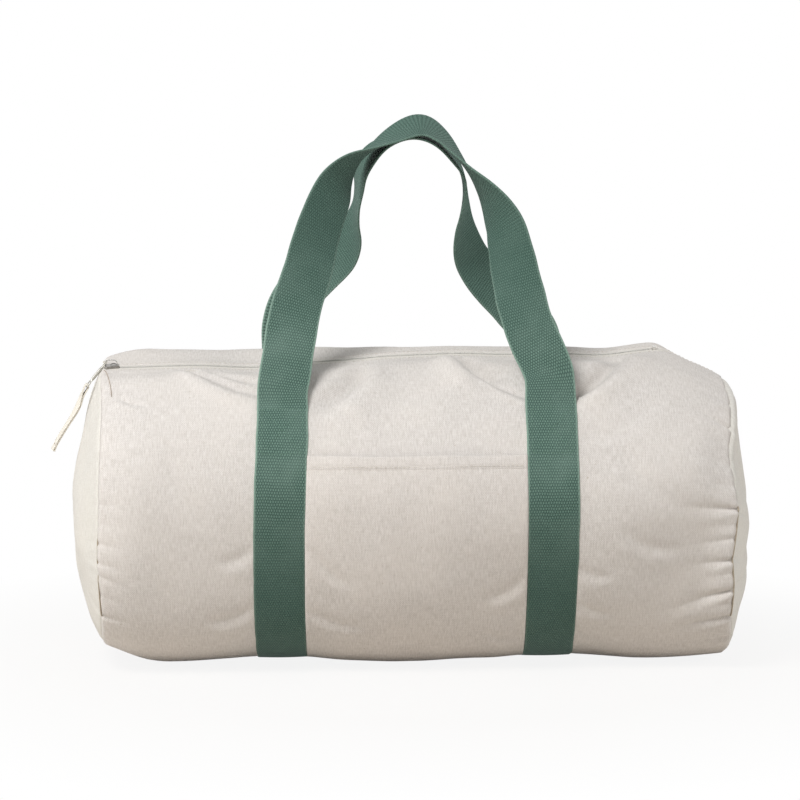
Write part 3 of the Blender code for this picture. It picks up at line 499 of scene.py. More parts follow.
# One cast metal in three tones: painted shade on the slider's body, painted light on its bridge, and the
# spring near black as painted shade in the slider's hollow
METAL = metal_material("slider_body_painted_shade", (0.42, 0.4, 0.37), 0.3)
BRIDGE_PAINTED_LIGHT = metal_material("bridge_metal", (0.66, 0.64, 0.6), 0.22)
SPRING_PAINTED_SHADE = metal_material("spring_painted_shade", (0.1, 0.092, 0.08), 0.4)
STOP_METAL = metal_material("stop_metal", (0.86, 0.84, 0.8), 0.45)
TAB_METAL = metal_material("tab_metal", (0.66, 0.64, 0.58), 0.32)


# Meshes

def add_object(name, data):
    item = bpy.data.objects.new(name, data)
    bpy.context.scene.collection.objects.link(item)
    return item


def new_mesh(name, points, faces, materials, uv=None, indices=None):
    """An object from points and faces; uv holds metres of cloth for each point."""
    mesh = bpy.data.meshes.new(name)
    mesh.from_pydata(np.asarray(points, float).reshape(-1, 3).tolist(), [], faces)
    for material in materials:
        mesh.materials.append(material)
    if uv is not None:
        layer = mesh.uv_layers.new(name="cloth")
        loops = np.empty(len(mesh.loops), int)
        mesh.loops.foreach_get("vertex_index", loops)
        layer.data.foreach_set("uv", np.asarray(uv, float).reshape(-1, 2)[loops].ravel())
    if indices is not None:
        mesh.polygons.foreach_set("material_index", indices)
    mesh.shade_smooth()
    return add_object(name, mesh)


def grid_faces(rows, columns, closed=False):
    faces = []
    for row in range(rows - 1):
        for column in range(columns if closed else columns - 1):
            after = (column + 1) % columns
            faces.append((row * columns + column, row * columns + after,
                          (row + 1) * columns + after, (row + 1) * columns + column))
    return faces


def swept_faces(rows, columns, base=0, flip=False):
    """Faces round a swept section, then one face over each of its ends."""
    last = (rows - 1) * columns
    faces = grid_faces(rows, columns, True)
    faces += [tuple(range(columns))[::-1], tuple(range(last, last + columns))]
    return [tuple(base + corner for corner in (face[::-1] if flip else face)) for face in faces]


def hoops(centres, first, second, radius, sides):
    """Rings of points round a line of centres."""
    turn = full_turn(sides)[:, None]
    spokes = first[:, None] * np.cos(turn) + second[:, None] * np.sin(turn)
    return centres[:, None] + np.reshape(radius, (-1, 1, 1)) * spokes


def rounded(turn, power):
    """How far a square with round corners reaches at each turn."""
    return (np.abs(np.cos(turn)) ** power + np.abs(np.sin(turn)) ** power) ** (-1 / power)


def thicken(item, thickness):
    """Gives a sheet its thickness, behind its face."""
    shell = item.modifiers.new("thickness", "SOLIDIFY")
    shell.thickness = thickness
    shell.offset = -1
    return item


def cloth_sheet(name, points, uv, material, thickness, flip=False):
    faces = grid_faces(*points.shape[:2])
    if flip:
        faces = [face[::-1] for face in faces]
    return thicken(new_mesh(name, points, faces, [material], uv), thickness)


def finish_piece(item, slot, *nodes, body="bag"):
    if nodes:
        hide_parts(*nodes)
    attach(item, body)


def stitch_row(name, points, outward, material, length, space, radius):
    """Dashes of thread along a line, pressed into the cloth at their ends."""
    run = running_length(points)
    count = max(int(run[-1] / (length + space)), 1)
    pitch = run[-1] / count
    rings, sides = 5, 6
    girth = np.array((0.25, 0.9, 1, 0.9, 0.25)) * radius
    rise = np.array((-0.9, 0.15, 0.45, 0.15, -0.9)) * radius
    vertices, faces = [], []
    for index in range(count):
        places = (index + 0.5) * pitch - length / 2 + np.linspace(0, 1, rings) * length
        line, out = [np.stack([np.interp(places, run, column) for column in rows.T], -1)
                     for rows in (points, outward)]
        out = unit(out)
        side = unit(np.cross(unit(np.gradient(line, axis=0)), out))
        faces += swept_faces(rings, sides, index * rings * sides, True)
        vertices.append(hoops(line + out * rise[:, None], side, out, girth, sides))
    return new_mesh(name, vertices, faces, [material])


def joined(name, pieces):
    """One object made of several, all of one material."""
    points, faces = [], []
    for piece in pieces:
        base = len(points)
        points += [tuple(vertex.co) for vertex in piece.data.vertices]
        faces += [tuple(base + corner for corner in face.vertices) for face in piece.data.polygons]
        material = piece.data.materials[0]
        bpy.data.objects.remove(piece, do_unlink=True)
    return new_mesh(name, points, faces, [material])


def tube(name, points, radius, material, sides=6):
    """A round thread or wire along a line of points."""
    along = unit(np.gradient(points, axis=0))
    out = unit(np.cross(along, np.array((0.31, 0.12, 0.94))))
    vertices = hoops(points, out, np.cross(along, out), radius, sides)
    return new_mesh(name, vertices, swept_faces(len(points), sides), [material])


# Body canvas

def body_canvas():
    """The wrap of canvas, with its edges rolled down beside the zip."""
    edge = np.linspace(0, 0.022, 12)
    inner = np.linspace(LEFT_SEAM + edge[-1], RIGHT_SEAM - edge[-1], 250)[1:-1]
    x = np.concatenate((LEFT_SEAM + edge, inner, (RIGHT_SEAM - edge)[::-1]))
    share = np.concatenate((np.linspace(0, 0.5, 320)[:-1], np.linspace(0.5, 1, 180)))
    front, back = zip_angle(x, -SLIT), zip_angle(x, SLIT) + tau
    angle = front[:, None] + (back - front)[:, None] * share
    place = np.repeat(x[:, None], len(share), 1)
    points = cloth(place, angle)
    roll = normals(place[:, [0, -1]], angle[:, [0, -1]]) * 0.0005
    points = np.concatenate((points[:, :1] - roll[:, :1], points, points[:, -1:] - roll[:, 1:]), 1)
    uv = np.pad(np.stack((place, angle * ARC), -1), ((0, 0), (1, 1), (0, 0)), "edge")
    item = cloth_sheet("canvas_body", points, uv, CANVAS_CLOTH, CANVAS_THICK)
    finish_piece(item, "canvas", "body_panel")


def end_dome(label, seam, side, bulge, drop, puckers):
    """A round end with gathers that fade on its dome."""
    angle = full_turn(300)
    rim = cloth(seam, angle, -SEAM_SINK, False)
    outward = unit((rim - np.array((seam, 0, MIDDLE))) * np.array((0, 1, 1)))
    middle = np.array((seam, 0, MIDDLE - drop))
    allowance = 0.006
    rows = [rim - np.array((side * allowance, 0, 0)), rim]
    spans = [allowance, 0]
    for share in (*np.linspace(1, 0.9, 12)[1:], *np.linspace(0.9, 0.04, 34)[1:]):
        distance = (1 - share) * ARC
        reach = bulge * (1 - share ** 2.15) ** 0.92
        swell = 0.0017 * bell(distance, 0.004, 0.004)
        gathers = 0.75 * pucker(np.full(angle.shape, distance * 0.9), angle, puckers)
        lump = 0.0016 * lumps(np.cos(angle) * share * 0.12, np.sin(angle) * share * 0.12, 0.045, seam)
        shoulder = (side > 0) * smooth(0.1, 0.9, np.cos(angle)) * smooth(0, 0.004, distance)
        shoulder *= bell(distance, 0.008, 0.008)
        row = middle + (rim - middle) * share
        row += outward * (swell + gathers * 0.35 + 0.0022 * shoulder)[:, None]
        row[:, 0] += side * (reach + (gathers + lump) * smooth(0, 0.01, distance) + 0.0028 * shoulder)
        row[:, 2] = np.maximum(row[:, 2], 0.0005)
        rows.append(row)
        spans.append(-distance)
    hub = middle + np.array((side * bulge, 0, 0))
    count = len(angle)
    faces = grid_faces(len(rows), count, True)
    last = (len(rows) - 1) * count
    faces += [(last + k, last + (k + 1) % count, last + count) for k in range(count)]
    if side < 0:
        faces = [face[::-1] for face in faces]
    flat = [np.stack((np.sin(angle) * (ARC + span), np.cos(angle) * (ARC + span)), -1) for span in spans]
    uv = np.concatenate((np.concatenate(flat), [(0, 0)]))
    points = np.concatenate((np.concatenate(rows), [hub]))
    item = thicken(new_mesh("canvas_end_" + label, points, faces, [END_CLOTH], uv), CANVAS_THICK)
    finish_piece(item, "end_canvas", "end_panel_" + label)


def pocket():
    """The front pocket, hemmed at its mouth and slack above its foot."""
    edge = STRAP_X - WEBBING / 2 - GAP
    x = np.linspace(-edge, edge, 110)
    mouth, foot = radians(67), radians(155)
    hem = 0.0095 / ARC
    seat_line = mouth + hem * 0.86
    ply, most_slack, most_sag = 0.0012, 0.0024, 0.0022
    angle = np.concatenate((mouth + np.array((0, 0.0004, 0.0012)) / ARC,
                            np.linspace(mouth + 0.002 / ARC, mouth + hem, 8),
                            mouth + hem + np.array((0.0006, 0.0012)) / ARC,
                            np.linspace(mouth + hem + 0.003 / ARC, foot, 104)))
    place, turn = np.meshgrid(x, angle, indexing="ij")
    across = np.clip(1 - (place / edge) ** 2, 0, 1)
    drift = [strap_middle(side, turn) - side * STRAP_X for side in (-1, 1)]
    place += mix(drift[0], drift[1], (place + edge) / (2 * edge))
    down = (turn - mouth) / (foot - mouth)
    slack = most_slack * across ** 0.7 * (1 - down) ** 0.8
    wave = 0.0006 * np.sin(place * 75 + 0.6) * across * np.exp(-down * 7)
    soft = 0.0009 * lumps(place * 1.6, turn * ARC * 0.8, 0.05, 5.5) * across
    fold = 0.0007 * (turn < mouth + hem + 0.0004 / ARC)
    lip = 0.0006 * bell(turn * ARC, mouth * ARC, 0.0007)
    seat = 0.0007 * bell(turn * ARC, seat_line * ARC, 0.0006)
    lift = ply + slack + wave + fold - lip - seat + soft * smooth(0, 0.12, down)
    points = cloth(place, turn + most_sag * across * np.exp(-down * 5) / ARC, lift)
    item = cloth_sheet("pocket_front", points, np.stack((place, turn * ARC), -1), POCKET_CLOTH, 0.0008)
    finish_piece(item, "pocket_canvas", "front_pocket")
    line_x = x[2:-2]
    across = np.clip(1 - (line_x / edge) ** 2, 0, 1)
    turn = seat_line + most_sag * across / ARC
    line = cloth(line_x, turn, ply + most_slack * across ** 0.7 * 0.93 + 0.0004)
    threads = stitch_row("pocket_hem_stitches", line, normals(line_x, turn), CREAM_THREAD,
                         0.0026, 0.0009, 0.00022)
    finish_piece(threads, "pocket_canvas")


# Webbing

def ribbon(name, places, faces_out):
    """A woven strip with rounded edges along a line, given its outward normals."""
    along = unit(np.gradient(places, axis=0))
    face = unit(faces_out - along * np.sum(faces_out * along, -1, keepdims=True))
    across = np.cross(along, face)
    run = running_length(places)
    half, round_edge = RIBBON_WIDTH / 2, WEBBING_THICK / 2
    arc = np.radians((60, 30, 0, -30, -60))
    upper = [(v, round_edge) for v in np.linspace(-half + round_edge, half - round_edge, 17)]
    upper += [(half - round_edge + round_edge * cos(a), round_edge * sin(a)) for a in arc]
    section = np.concatenate((upper, np.negative(upper)))
    count = len(section)
    wobble = 0.00035 * lumps(run, np.full(run.shape, 0.3), 0.018, len(name))
    cup = 0.0005 * (np.abs(section[:, 0]) / half) ** 2
    v = section[:, 0] * (1 + (wobble / half)[:, None])
    w = (section[:, 1] - cup)[:, None]
    points = places[:, None] + across[:, None] * v[..., None] + face[:, None] * w
    faces = swept_faces(len(places), count, 0, True)
    under = section[:, 1] < -1e-6
    inner = [int(under[corners[0] % count] and under[corners[1] % count]) for corners in faces]
    uv = np.stack(np.meshgrid(run, section[:, 0], indexing="ij"), -1)
    return new_mesh(name, points, faces, [WEB_OUTER, WEB_INNER], uv, inner)


# Drift of the straps down the front: angle in degrees and millimetres to the right
LEFT_WANDER = ((48, 0), (60, -0.3), (75, -1.6), (92, -2.8), (120, -2.8), (150, -1.4), (180, -0.5), (240, 0))
RIGHT_WANDER = ((48, 0), (70, -0.4), (100, 0), (130, 0.4), (155, 1.4), (180, 0.6), (240, 0))


def strap_middle(side, angle):
    table = LEFT_WANDER if side < 0 else RIGHT_WANDER
    return side * STRAP_X + np.interp(np.degrees(angle), *zip(*table)) / 1000


def strap_line(side, angle, lift):
    """Points and normals of the middle of a strap's outer face."""
    x = strap_middle(side, angle)
    out = normals(x, angle)
    return skin(x, angle) + out * (GAP + WEBBING_THICK + lift), out


def strap(label, side):
    angle = np.linspace(TOP_ANGLE, tau - TOP_ANGLE, 260)
    places, out = strap_line(side, angle, -WEBBING_THICK / 2)
    finish_piece(ribbon("strap_" + label, places, out), "webbing", "webbing_" + label)


def below_top(facing, distance):
    """The angle at a distance down a strap from its top end, in front or behind."""
    angle = TOP_ANGLE + distance / ARC
    return angle if facing < 0 else tau - angle


def stitch_box(name, side, facing):
    """A square of stitches with a cross in it, where a strap is sewn to the canvas."""
    half, low, high = 0.0152, 0.0035, 0.0395
    a, b, c, d = (-half, low), (half, low), (half, high), (-half, high)
    pieces = []
    for start, end in ((a, b), (b, c), (c, d), (d, a), (a, c), (b, d)):
        share = np.linspace(0, 1, 24)
        off = mix(start[0], end[0], share)
        turn = below_top(facing, mix(start[1], end[1], share))
        line, out = strap_line(side, turn, 0.00005)
        line[:, 0] = strap_middle(side, turn) + off
        line -= out * (0.0005 * (off / (WEBBING / 2)) ** 2)[:, None]
        pieces.append(stitch_row("dashes", line, out, GREEN_THREAD, 0.0024, 0.0008, 0.00024))
    finish_piece(joined(name, pieces), "webbing")


# Handle routes in thousandths: of the strap's distance from the middle, of the hinge's from the
# middle plane, of the rise, and of a quarter turn of roll
FRONT_HANDLE = (
    (-1000, 1000, 0, 0), (-1000, 945, 55, 0), (-975, 875, 125, 0), (-935, 755, 255, 0),
    (-885, 655, 365, 50), (-805, 555, 473, 140), (-725, 430, 617, 280), (-605, 292, 762, 380),
    (-490, 200, 845, 660), (-335, 120, 906, 980), (-150, 55, 966, 1200), (55, 22, 1010, 1280),
    (205, 42, 970, 1200), (325, 104, 899, 1100), (435, 187, 826, 950), (548, 281, 752, 740),
    (635, 360, 682, 540), (695, 430, 612, 410), (752, 552, 473, 240), (800, 655, 365, 120),
    (865, 757, 256, 40), (980, 870, 130, 0), (1000, 930, 70, 0), (1000, 1000, 0, 0))
BACK_HANDLE = (
    (-1000, 1000, 0, 0), (-985, 935, 90, 0), (-990, 880, 190, 50), (-955, 825, 280, 100),
    (-880, 770, 350, 160), (-780, 720, 405, 220), (-645, 656, 465, 300), (-520, 573, 532, 400),
    (-440, 490, 600, 660), (-412, 396, 671, 920), (-405, 292, 749, 950), (-388, 187, 832, 800),
    (-305, 98, 897, 780), (-169, 45, 946, 900), (7, 22, 968, 950), (170, 36, 945, 930),
    (300, 100, 887, 920), (378, 187, 836, 950), (408, 292, 770, 960), (407, 385, 700, 880),
    (408, 469, 630, 730), (438, 542, 552, 550), (492, 604, 488, 420), (590, 656, 425, 320),
    (720, 719, 358, 240), (855, 771, 294, 170), (985, 830, 225, 90), (1050, 885, 160, 40),
    (1020, 935, 90, 0), (1000, 1000, 0, 0))
HANDLE_RISE = 0.2065


def smooth_route(table):
    """A smooth curve through a table's rows."""
    table = np.array(table) / 1000
    rows = []
    for position in np.linspace(0, len(table) - 1, 360):
        index = min(int(position), len(table) - 2)
        share = position - index
        p0, p1 = table[max(index - 1, 0)], table[index]
        p2, p3 = table[index + 1], table[min(index + 2, len(table) - 1)]
        bend = (p2 - p0) * share + (2 * p0 - 5 * p1 + 4 * p2 - p3) * share ** 2
        rows.append(p1 + (bend + (3 * p1 - p0 - 3 * p2 + p3) * share ** 3) / 2)
    rows = np.array(rows)
    relax(rows, 10)
    return rows


def handle(label, table, side):
    """A loop of webbing that twists from each strap's face up to the grip."""
    angle = below_top(side, 0)
    hinge = skin(STRAP_X, angle) + normals(STRAP_X, angle) * (1.5 * GAP + WEBBING_THICK)
    route = smooth_route(table)
    places = np.stack((route[:, 0] * STRAP_X, route[:, 1] * abs(hinge[1]) * side,
                       hinge[2] + route[:, 2] * HANDLE_RISE), -1)
    along = unit(np.gradient(places, axis=0))
    straight = np.array((0, side, 0.0))
    out = unit(straight - along * (along @ straight)[:, None])
    inward = np.cross(along, out) * -side
    roll = (route[:, 3] * pi / 2)[:, None]
    face = out * np.cos(roll) + inward * np.sin(roll)
    places -= face * WEBBING_THICK / 2
    feet = below_top(side, np.linspace(0.004, 0.0004, 8))
    left, right = [strap_line(way, feet, 0.00004 - WEBBING_THICK / 2) for way in (-1, 1)]
    lines = [np.concatenate((left[k], rows, right[k][::-1])) for k, rows in enumerate((places, face))]
    for rows in lines:
        relax(rows, 14, 5)
    item = ribbon("grip_" + label, *lines)
    body = "handle_" + label
    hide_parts(body)
    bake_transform(item)


# Zip

def zip_place(x, across, lift):
    """A point beside the zip's line, following the cloth past its right end."""
    return cloth(x, zip_angle(x, across), lift, False)


def parting(x):
    """How far the coils stand apart inside the slider and in front of it."""
    return 0.0017 * smooth(-0.0003, -0.0055, x - ZIP_LEFT.x)


def open_zip(item, side):
    """Gives a tape or coil a mesh of its own; the tape's place beside the zip's middle is found but not used.
    """
    anchor = zip_place(0.0, side * TAPE_HALF, TAPE_LIFT)
    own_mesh(item)


def zip_tape(name, side, start, end, *nodes):
    """One half of the tape, or of its closed end past the stop, which has no solid."""
    x = np.linspace(start, end, max(int((end - start) * 600), 24))
    inner = 0.0005 - 0.00048 * smooth(ZIP_RIGHT.x, ZIP_RIGHT.x + 0.004, x) + parting(x)
    share = np.linspace(0, 1, 10)
    across = inner[:, None] + (TAPE_HALF - inner)[:, None] * share
    place = np.repeat(x[:, None], len(share), 1)
    points = zip_place(place, side * across, TAPE_LIFT)
    item = cloth_sheet(name, points, np.stack((place, across), -1), ZIP_CLOTH, 0.0004, side < 0)
    if nodes:
        open_zip(item, side)
    finish_piece(item, "zip_tape", *nodes)


def zip_coil(label, side):
    """One row of the coil, as a wire wound in flattened turns."""
    pitch, per_turn = 0.00135, 12
    start, end = ZIP_LEFT.x - 0.0052, ZIP_RIGHT.x - 0.0005
    turns = int((end - start) / pitch)
    turn = np.linspace(0, turns * tau, turns * per_turn)
    x = start + (turn / tau + (0.5 if side > 0 else 0)) * pitch
    x = np.clip(x + 0.0002 * np.sin(turn), start, end)
    across = 0.0008 + parting(x) - 0.0009 * np.cos(turn)
    points = zip_place(x, side * across, -0.0003 + 0.0005 * np.sin(turn))
    item = tube("coil_" + label, points, 0.00023, COIL_NYLON)
    open_zip(item, side)
    finish_piece(item, "zip_coil", "zip_coil_" + label)


def zip_stitches(label, side):
    x = np.linspace(LEFT_SEAM + 0.006, RIGHT_SEAM - 0.006, 260)
    angle = zip_angle(x, side * (SLIT + 0.003))
    line = cloth(x, angle, 0.00002)
    threads = stitch_row("zip_stitches_" + label, line, normals(x, angle), CREAM_THREAD,
                         0.0027, 0.0009, 0.00022)
    finish_piece(threads, "canvas")


def binding(label, seam, side):
    """Cotton tape folded over the seam allowance inside, slightly ruffled."""
    angle = full_turn(240)
    width = 0.0045
    rows, spans = [], []
    for share in np.linspace(0, 1, 5):
        x = seam - side * (0.007 - width * share)
        near = np.abs(around(angle, zip_angle(x, 0)))
        depth = 0.0032 + 0.0024 * (1 - smooth(0.014, 0.03, near))
        ruffle = 0.0003 * np.sin(angle * 46) * (1 - share)
        rows.append(skin(x, angle) - normals(x, angle) * (depth + ruffle)[:, None])
        spans.append(np.stack((angle * ARC, np.full(angle.shape, share * width)), -1))
    faces = grid_faces(len(rows), len(angle), True)
    item = thicken(new_mesh("binding_" + label, rows, faces, [BINDING_CLOTH], spans), 0.0005)
    finish_piece(item, "binding", "seam_binding_" + label)


def painted_seam_shade(label, seam, opens):
    """The allowance's raw edge as a brown tube, painted shade in the seam's gap, raised where the gathers
    pull the seam open.
    """
    angle = np.linspace(0, tau, 400)
    shown = np.max([band(start - 1.5, end + 1.5, 1.5, np.degrees(angle)) for start, end in opens], 0)
    line = cloth(seam, angle, -0.0046 + 0.0034 * shown, False)
    finish_piece(tube("painted_seam_shade_" + label, line, 0.0006, SEAM_SHADE_BROWN), "binding")


# Cotton pull

def joint(name):
    """A joint's place and its axis at rest."""
    found = [entry for entry in frame["joints"] if entry["name"] == name][0]
    return Vector(found["pos_m"]), Vector(found["axis"]).normalized()


def tab_frame():
    """The tab's own axes at rest: down its length, across it and through its thickness."""
    origin, across = joint("pull_tab_hinge")
    if across.y < 0:
        across = -across
    end, _ = joint("pull_tape_hinge")
    along = (end - origin).normalized()
    return [np.array(v) for v in (origin, along, across, along.cross(across))]


def rounded_frame(half_long, half_wide, middle):
    """A closed line round a rectangle with round corners, in the tab's plane."""
    turn = full_turn(56)
    reach = rounded(turn, 5)
    return np.stack((middle + half_long * reach * np.cos(turn), half_wide * reach * np.sin(turn)), -1)


def cast_tab():
    """The tab as it is cast: an eye, a rounded grip and a loop."""
    origin, along, across, through = tab_frame()
    points, faces = [], []

    def bar(line, wide, thick, closed):
        """Sweeps a rounded section along a line of places in the tab's plane."""
        start, rows, count = len(points), len(line), 14
        ways = unit(np.roll(line, -1, 0) - np.roll(line, 1, 0) if closed else np.gradient(line, axis=0))
        sides = np.stack((-ways[:, 1], ways[:, 0]), -1)
        turn = full_turn(count)
        off = np.reshape(wide, (-1, 1)) * rounded(turn, 3) * np.cos(turn)
        deep = np.reshape(thick, (-1, 1)) * rounded(turn, 3) * np.sin(turn)
        spots = line[:, None] + sides[:, None] * off[..., None]
        rings = origin + along * spots[..., :1] + across * spots[..., 1:] + through * deep[..., None]
        points.extend(rings.reshape(-1, 3))
        if closed:
            faces.extend(tuple(start + corner % (rows * count) for corner in face)
                         for face in grid_faces(rows + 1, count, True))
        else:
            faces.extend(swept_faces(rows, count, start))

    bar(rounded_frame(0.0021, 0.0019, 0.0017), 0.0004, 0.00045, True)
    bar(rounded_frame(0.00225, 0.00435, 0.0227), 0.00055, 0.00045, True)
    grip = np.linspace(0.0038, 0.0205, 36)
    share = np.linspace(0, 1, 36)
    swell = smooth(0, 0.3, share) * (1 - smooth(0.8, 1.0, share))
    wide = 0.0016 + 0.0006 * (1 - smooth(0, 0.1, share)) + 0.0016 * smooth(0.86, 1.0, share)
    bar(np.stack((grip, np.zeros(len(grip))), -1), wide, 0.00045 + 0.00085 * swell, False)
    item = new_mesh("tab_cast", points, faces, [TAB_METAL])
    item.data.set_sharp_from_angle(angle=radians(60))
    finish_piece(item, "tab_metal", "pull_tab", body="pull_tab")


# The cotton pull hangs from the tab's loop, its outer face turned a little towards the front
PULL_LENGTH, PULL_HALF, PULL_SEAM = 0.0575, 0.0031, 0.0525
PULL_TILT, PULL_TWIST = radians(62), radians(-24)


def pull_bend(run):
    return 0.0011 * np.sin(run / PULL_LENGTH * 5.2)


def turned(first, second, angle):
    """Two axes turned about the one across both."""
    return (first * np.cos(angle) + second * np.sin(angle),
            second * np.cos(angle) - first * np.sin(angle))


def pull_tape():
    """Natural tape folded through the tab's loop, its two plies sewn."""
    pivot, axis = joint("pull_tape_hinge")
    along = np.array((Matrix.Rotation(-PULL_TILT, 3, axis) @ -Vector(ZIP_AXES[0])).normalized())
    origin, across = np.array(pivot), np.array(axis)
    out = np.cross(along, across)
    bar, ply, slack = 0.00085, 0.001, 0.00006
    turn = np.linspace(pi / 2, 3 * pi / 2, 14)
    loop = np.stack(((bar + ply / 2) * np.cos(turn), (bar + ply / 2) * np.sin(turn)), -1)
    run = np.linspace(0.001, PULL_LENGTH, 56)
    half = ply / 2 + slack + (bar - slack) * (1 - smooth(0, 0.012, run))
    half += 0.00012 * smooth(0.052, PULL_LENGTH, run) - 0.0002 * bell(run, PULL_SEAM, 0.0014)
    bend = pull_bend(run) * smooth(0.004, 0.02, run)
    upper, lower = np.stack((run, bend + half), -1), np.stack((run, bend - half), -1)
    path = np.concatenate((upper[::-1], loop, lower))
    offset = np.concatenate((half[::-1], loop[:, 1], -half))[:, None]
    down = path[:, :1]
    twist = PULL_TWIST * smooth(0.003, 0.016, down) * (1 - 0.5 * smooth(0.016, 0.036, down))
    wide_way, thick_way = turned(across, out, twist)
    spot = origin + down * along + (path[:, 1:] - offset) * out + offset * thick_way
    face = unit(np.cross(wide_way, unit(np.gradient(spot, axis=0))))
    length = running_length(spot)
    half_width = (PULL_HALF + 0.00012 * np.sin(length * 900))[:, None]
    half_section = np.array(((-1, 0.35), (-0.9, 0.5), (0, 0.5), (0.9, 0.5), (1, 0.35)))
    section = np.concatenate((half_section, -half_section))
    points = (spot[:, None] + wide_way[:, None] * (half_width * section[:, 0])[..., None]
              + face[:, None] * (section[:, 1] * ply * 0.92)[:, None])
    uv = np.stack(np.meshgrid(length, section[:, 0] * PULL_HALF, indexing="ij"), -1)
    item = new_mesh("cotton_pull", points, swept_faces(len(spot), len(section)), [PULL_CLOTH], uv)
    item.data.set_sharp_from_angle(angle=radians(50))
    finish_piece(item, "pull_cotton", "pull_tape", body="pull_tape")
    pieces = []
    seam_across, seam_out = turned(across, out, PULL_TWIST / 2)
    shares = np.linspace(-0.0027, 0.0027, 8)[:, None]
    for side in (1, -1):
        line = origin + along * PULL_SEAM + seam_across * shares + seam_out * side * 0.00095
        line += out * pull_bend(PULL_SEAM)
        pieces.append(stitch_row("dashes", line, np.broadcast_to(seam_out * side, line.shape),
                                 BROWN_THREAD, 0.0013, 0.0005, 0.0002))
    finish_piece(joined("pull_stitches", pieces), "pull_cotton", body="pull_tape")


def loose_thread():
    """A thread end that trails from the zip's stitching beside the slider."""
    fine = np.linspace(0, 4, 40)
    x = np.interp(fine, range(5), (-0.2395, -0.2375, -0.2352, -0.2335, -0.2325))
    angle = np.interp(fine, range(5), np.radians((22.5, 26.0, 31.5, 36.0, 41.0)))
    line = cloth(x, angle, 0.00025 + 0.0004 * np.sin(fine * 1.9) ** 2)
    relax(line, 6)
    finish_piece(tube("loose_thread", line, 0.00022, BROWN_THREAD), "canvas")


def tape_end():
    """The zip tape's free end, standing up behind the slider's nose."""
    x = np.linspace(-0.2412, -0.2352, 8)
    place, side = np.meshgrid(x, np.linspace(0.0022, 0.0062, 8), indexing="ij")
    rise = 0.0034 * smooth(-0.2362, -0.2412, place) + 0.0004
    points = zip_place(place, side, rise)
    item = cloth_sheet("zip_tape_end", points, np.stack((place, side), -1), PULL_CLOTH, 0.0005, True)
    finish_piece(item, "zip_tape")


# Build the pieces

body_canvas()
end_dome("left", LEFT_SEAM, -1, 0.0255, 0.012, LEFT_PUCKERS)
end_dome("right", RIGHT_SEAM, 1, 0.019, 0.03, RIGHT_PUCKERS)
pocket()
for label, way in ENDS:
    strap(label, way)
    for face_label, facing in FACES:
        stitch_box("box_stitches_" + face_label + "_" + label, way, facing)
handle("front", FRONT_HANDLE, -1)
handle("back", BACK_HANDLE, 1)
TAPE_SPLIT = ZIP_RIGHT.x + 0.0012
for label, way in FACES:
    zip_tape("zip_cloth_" + label, way, LEFT_SEAM + 0.0005, TAPE_SPLIT, "zip_tape_" + label)
    zip_tape("zip_closed_end_" + label, way, TAPE_SPLIT, RIGHT_SEAM - 0.0002)
for make in (zip_coil, zip_stitches):
    for label, way in FACES:
        make(label, way)
binding("left", LEFT_SEAM, -1)
binding("right", RIGHT_SEAM, 1)
painted_seam_shade("left", LEFT_SEAM, ((96, 104), (110, 125), (205, 232)))
painted_seam_shade("right", RIGHT_SEAM, ((86, 104), (106, 115), (117, 126), (229, 256)))
cast_tab()
pull_tape()
loose_thread()
tape_end()

# The slider's body, bridge and spring get the painted shade and light tones of one metal
for node_name, material in (("slider_body", METAL), ("slider_bridge", BRIDGE_PAINTED_LIGHT),
                            ("slider_spring", SPRING_PAINTED_SHADE), ("zip_stop", STOP_METAL)):
    for material_slot in frame["nodes"][node_name].material_slots:
        material_slot.material = material


# Floor, lights and camera

def seen_rays(path):
    return maths("MAXIMUM", path["Is Camera Ray"], path["Is Glossy Ray"])


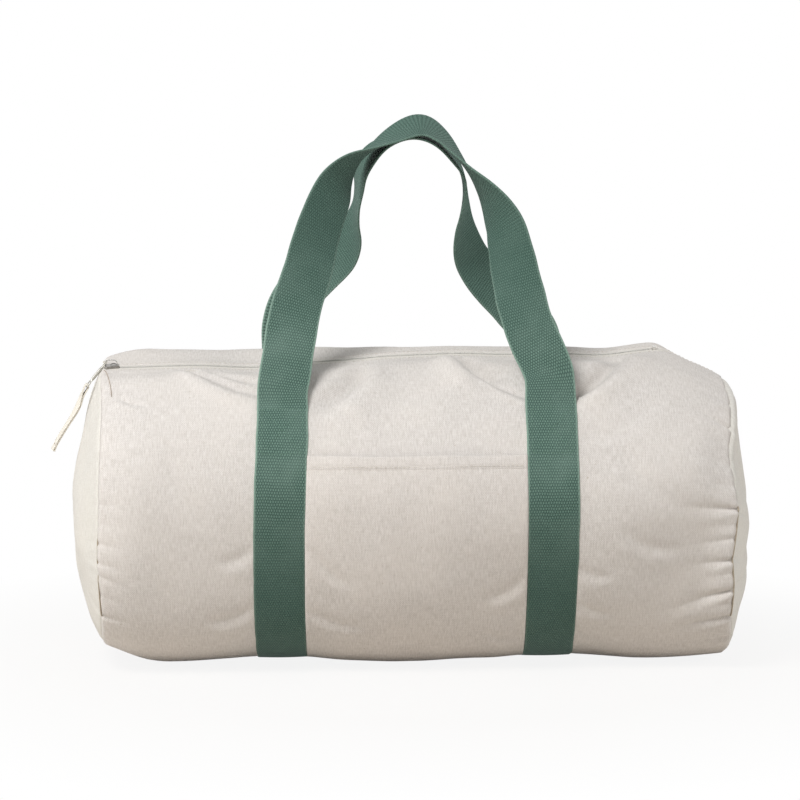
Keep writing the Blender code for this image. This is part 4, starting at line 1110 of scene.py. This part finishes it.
def floor():
    """White to the camera and pale to the bag."""
    size = 6.0
    corners = ((-size, -size, 0), (size, -size, 0), (size, size, 0), (-size, size, 0))
    material, tree, shader = new_material("pale_floor", (0.72, 0.67, 0.61), 0.9)
    shader.inputs["Specular IOR Level"].default_value = 0.1
    glow = node(tree, "Emission", {"Color": (1, 1, 1, 1), "Strength": 1.0})
    path = node(tree, "LightPath").outputs
    away = node(tree, "VectorMath", {0: object_place(tree)}, operation="LENGTH").outputs["Value"]
    lit = remap(away, 0.26, 0.5, 0.88, 1.0)
    share = maths("MULTIPLY", seen_rays(path), lit)
    both = node(tree, "MixShader", {0: share, 1: shader.outputs[0], 2: glow.outputs[0]})
    tree.links.new(both.outputs[0], tree.nodes["Material Output"].inputs[0])
    item = new_mesh("floor", corners, [(0, 1, 2, 3)], [material])
    item.location.z = -0.0002


def lamp(name, place, aim, size, power):
    data = bpy.data.lights.new(name, "AREA")
    data.shape = "DISK"
    data.size = size
    data.energy = power
    item = add_object(name, data)
    item.location = place
    item.rotation_euler = (Vector(aim) - Vector(place)).to_track_quat("-Z", "Y").to_euler()


def world():
    studio = bpy.data.worlds.new("studio")
    bpy.context.scene.world = studio
    studio.use_nodes = True
    tree = studio.node_tree
    background = tree.nodes["Background"]
    path = node(tree, "LightPath").outputs
    seen = maths("MAXIMUM", seen_rays(path), path["Is Transmission Ray"])
    background.inputs["Color"].default_value = (1, 1, 1, 1)
    tree.links.new(remap(seen, 0, 1, 0.23, 1.0), background.inputs["Strength"])


def camera():
    distance, turn, rise = 2.2, radians(-2), radians(6)
    metres_per_pixel, sensor, picture = 0.00079, 36, 800
    aim = Vector((-0.0095, 0, 0.201))
    back = Vector((sin(turn) * cos(rise), -cos(turn) * cos(rise), sin(rise)))
    data = bpy.data.cameras.new("camera")
    data.sensor_width = sensor
    data.lens = distance / metres_per_pixel * sensor / picture
    item = add_object("camera", data)
    item.location = aim + back * distance
    item.rotation_euler = (-back).to_track_quat("-Z", "Y").to_euler()
    bpy.context.scene.camera = item


floor()
world()
lamp("key", (-0.78, -1.25, 1.75), (0, 0, 0.14), 0.8, 32.5)
lamp("left", (-1.9, -0.3, 0.6), (-0.1, 0, 0.14), 1.0, 9.5)
lamp("right", (1.9, -0.2, 0.6), (0.1, 0, 0.14), 1.0, 8)
lamp("fill", (1.7, -1.1, 1.3), (0.1, 0, 0.14), 1.2, 4.2)
camera()
bpy.context.scene.view_settings.view_transform = "Standard"
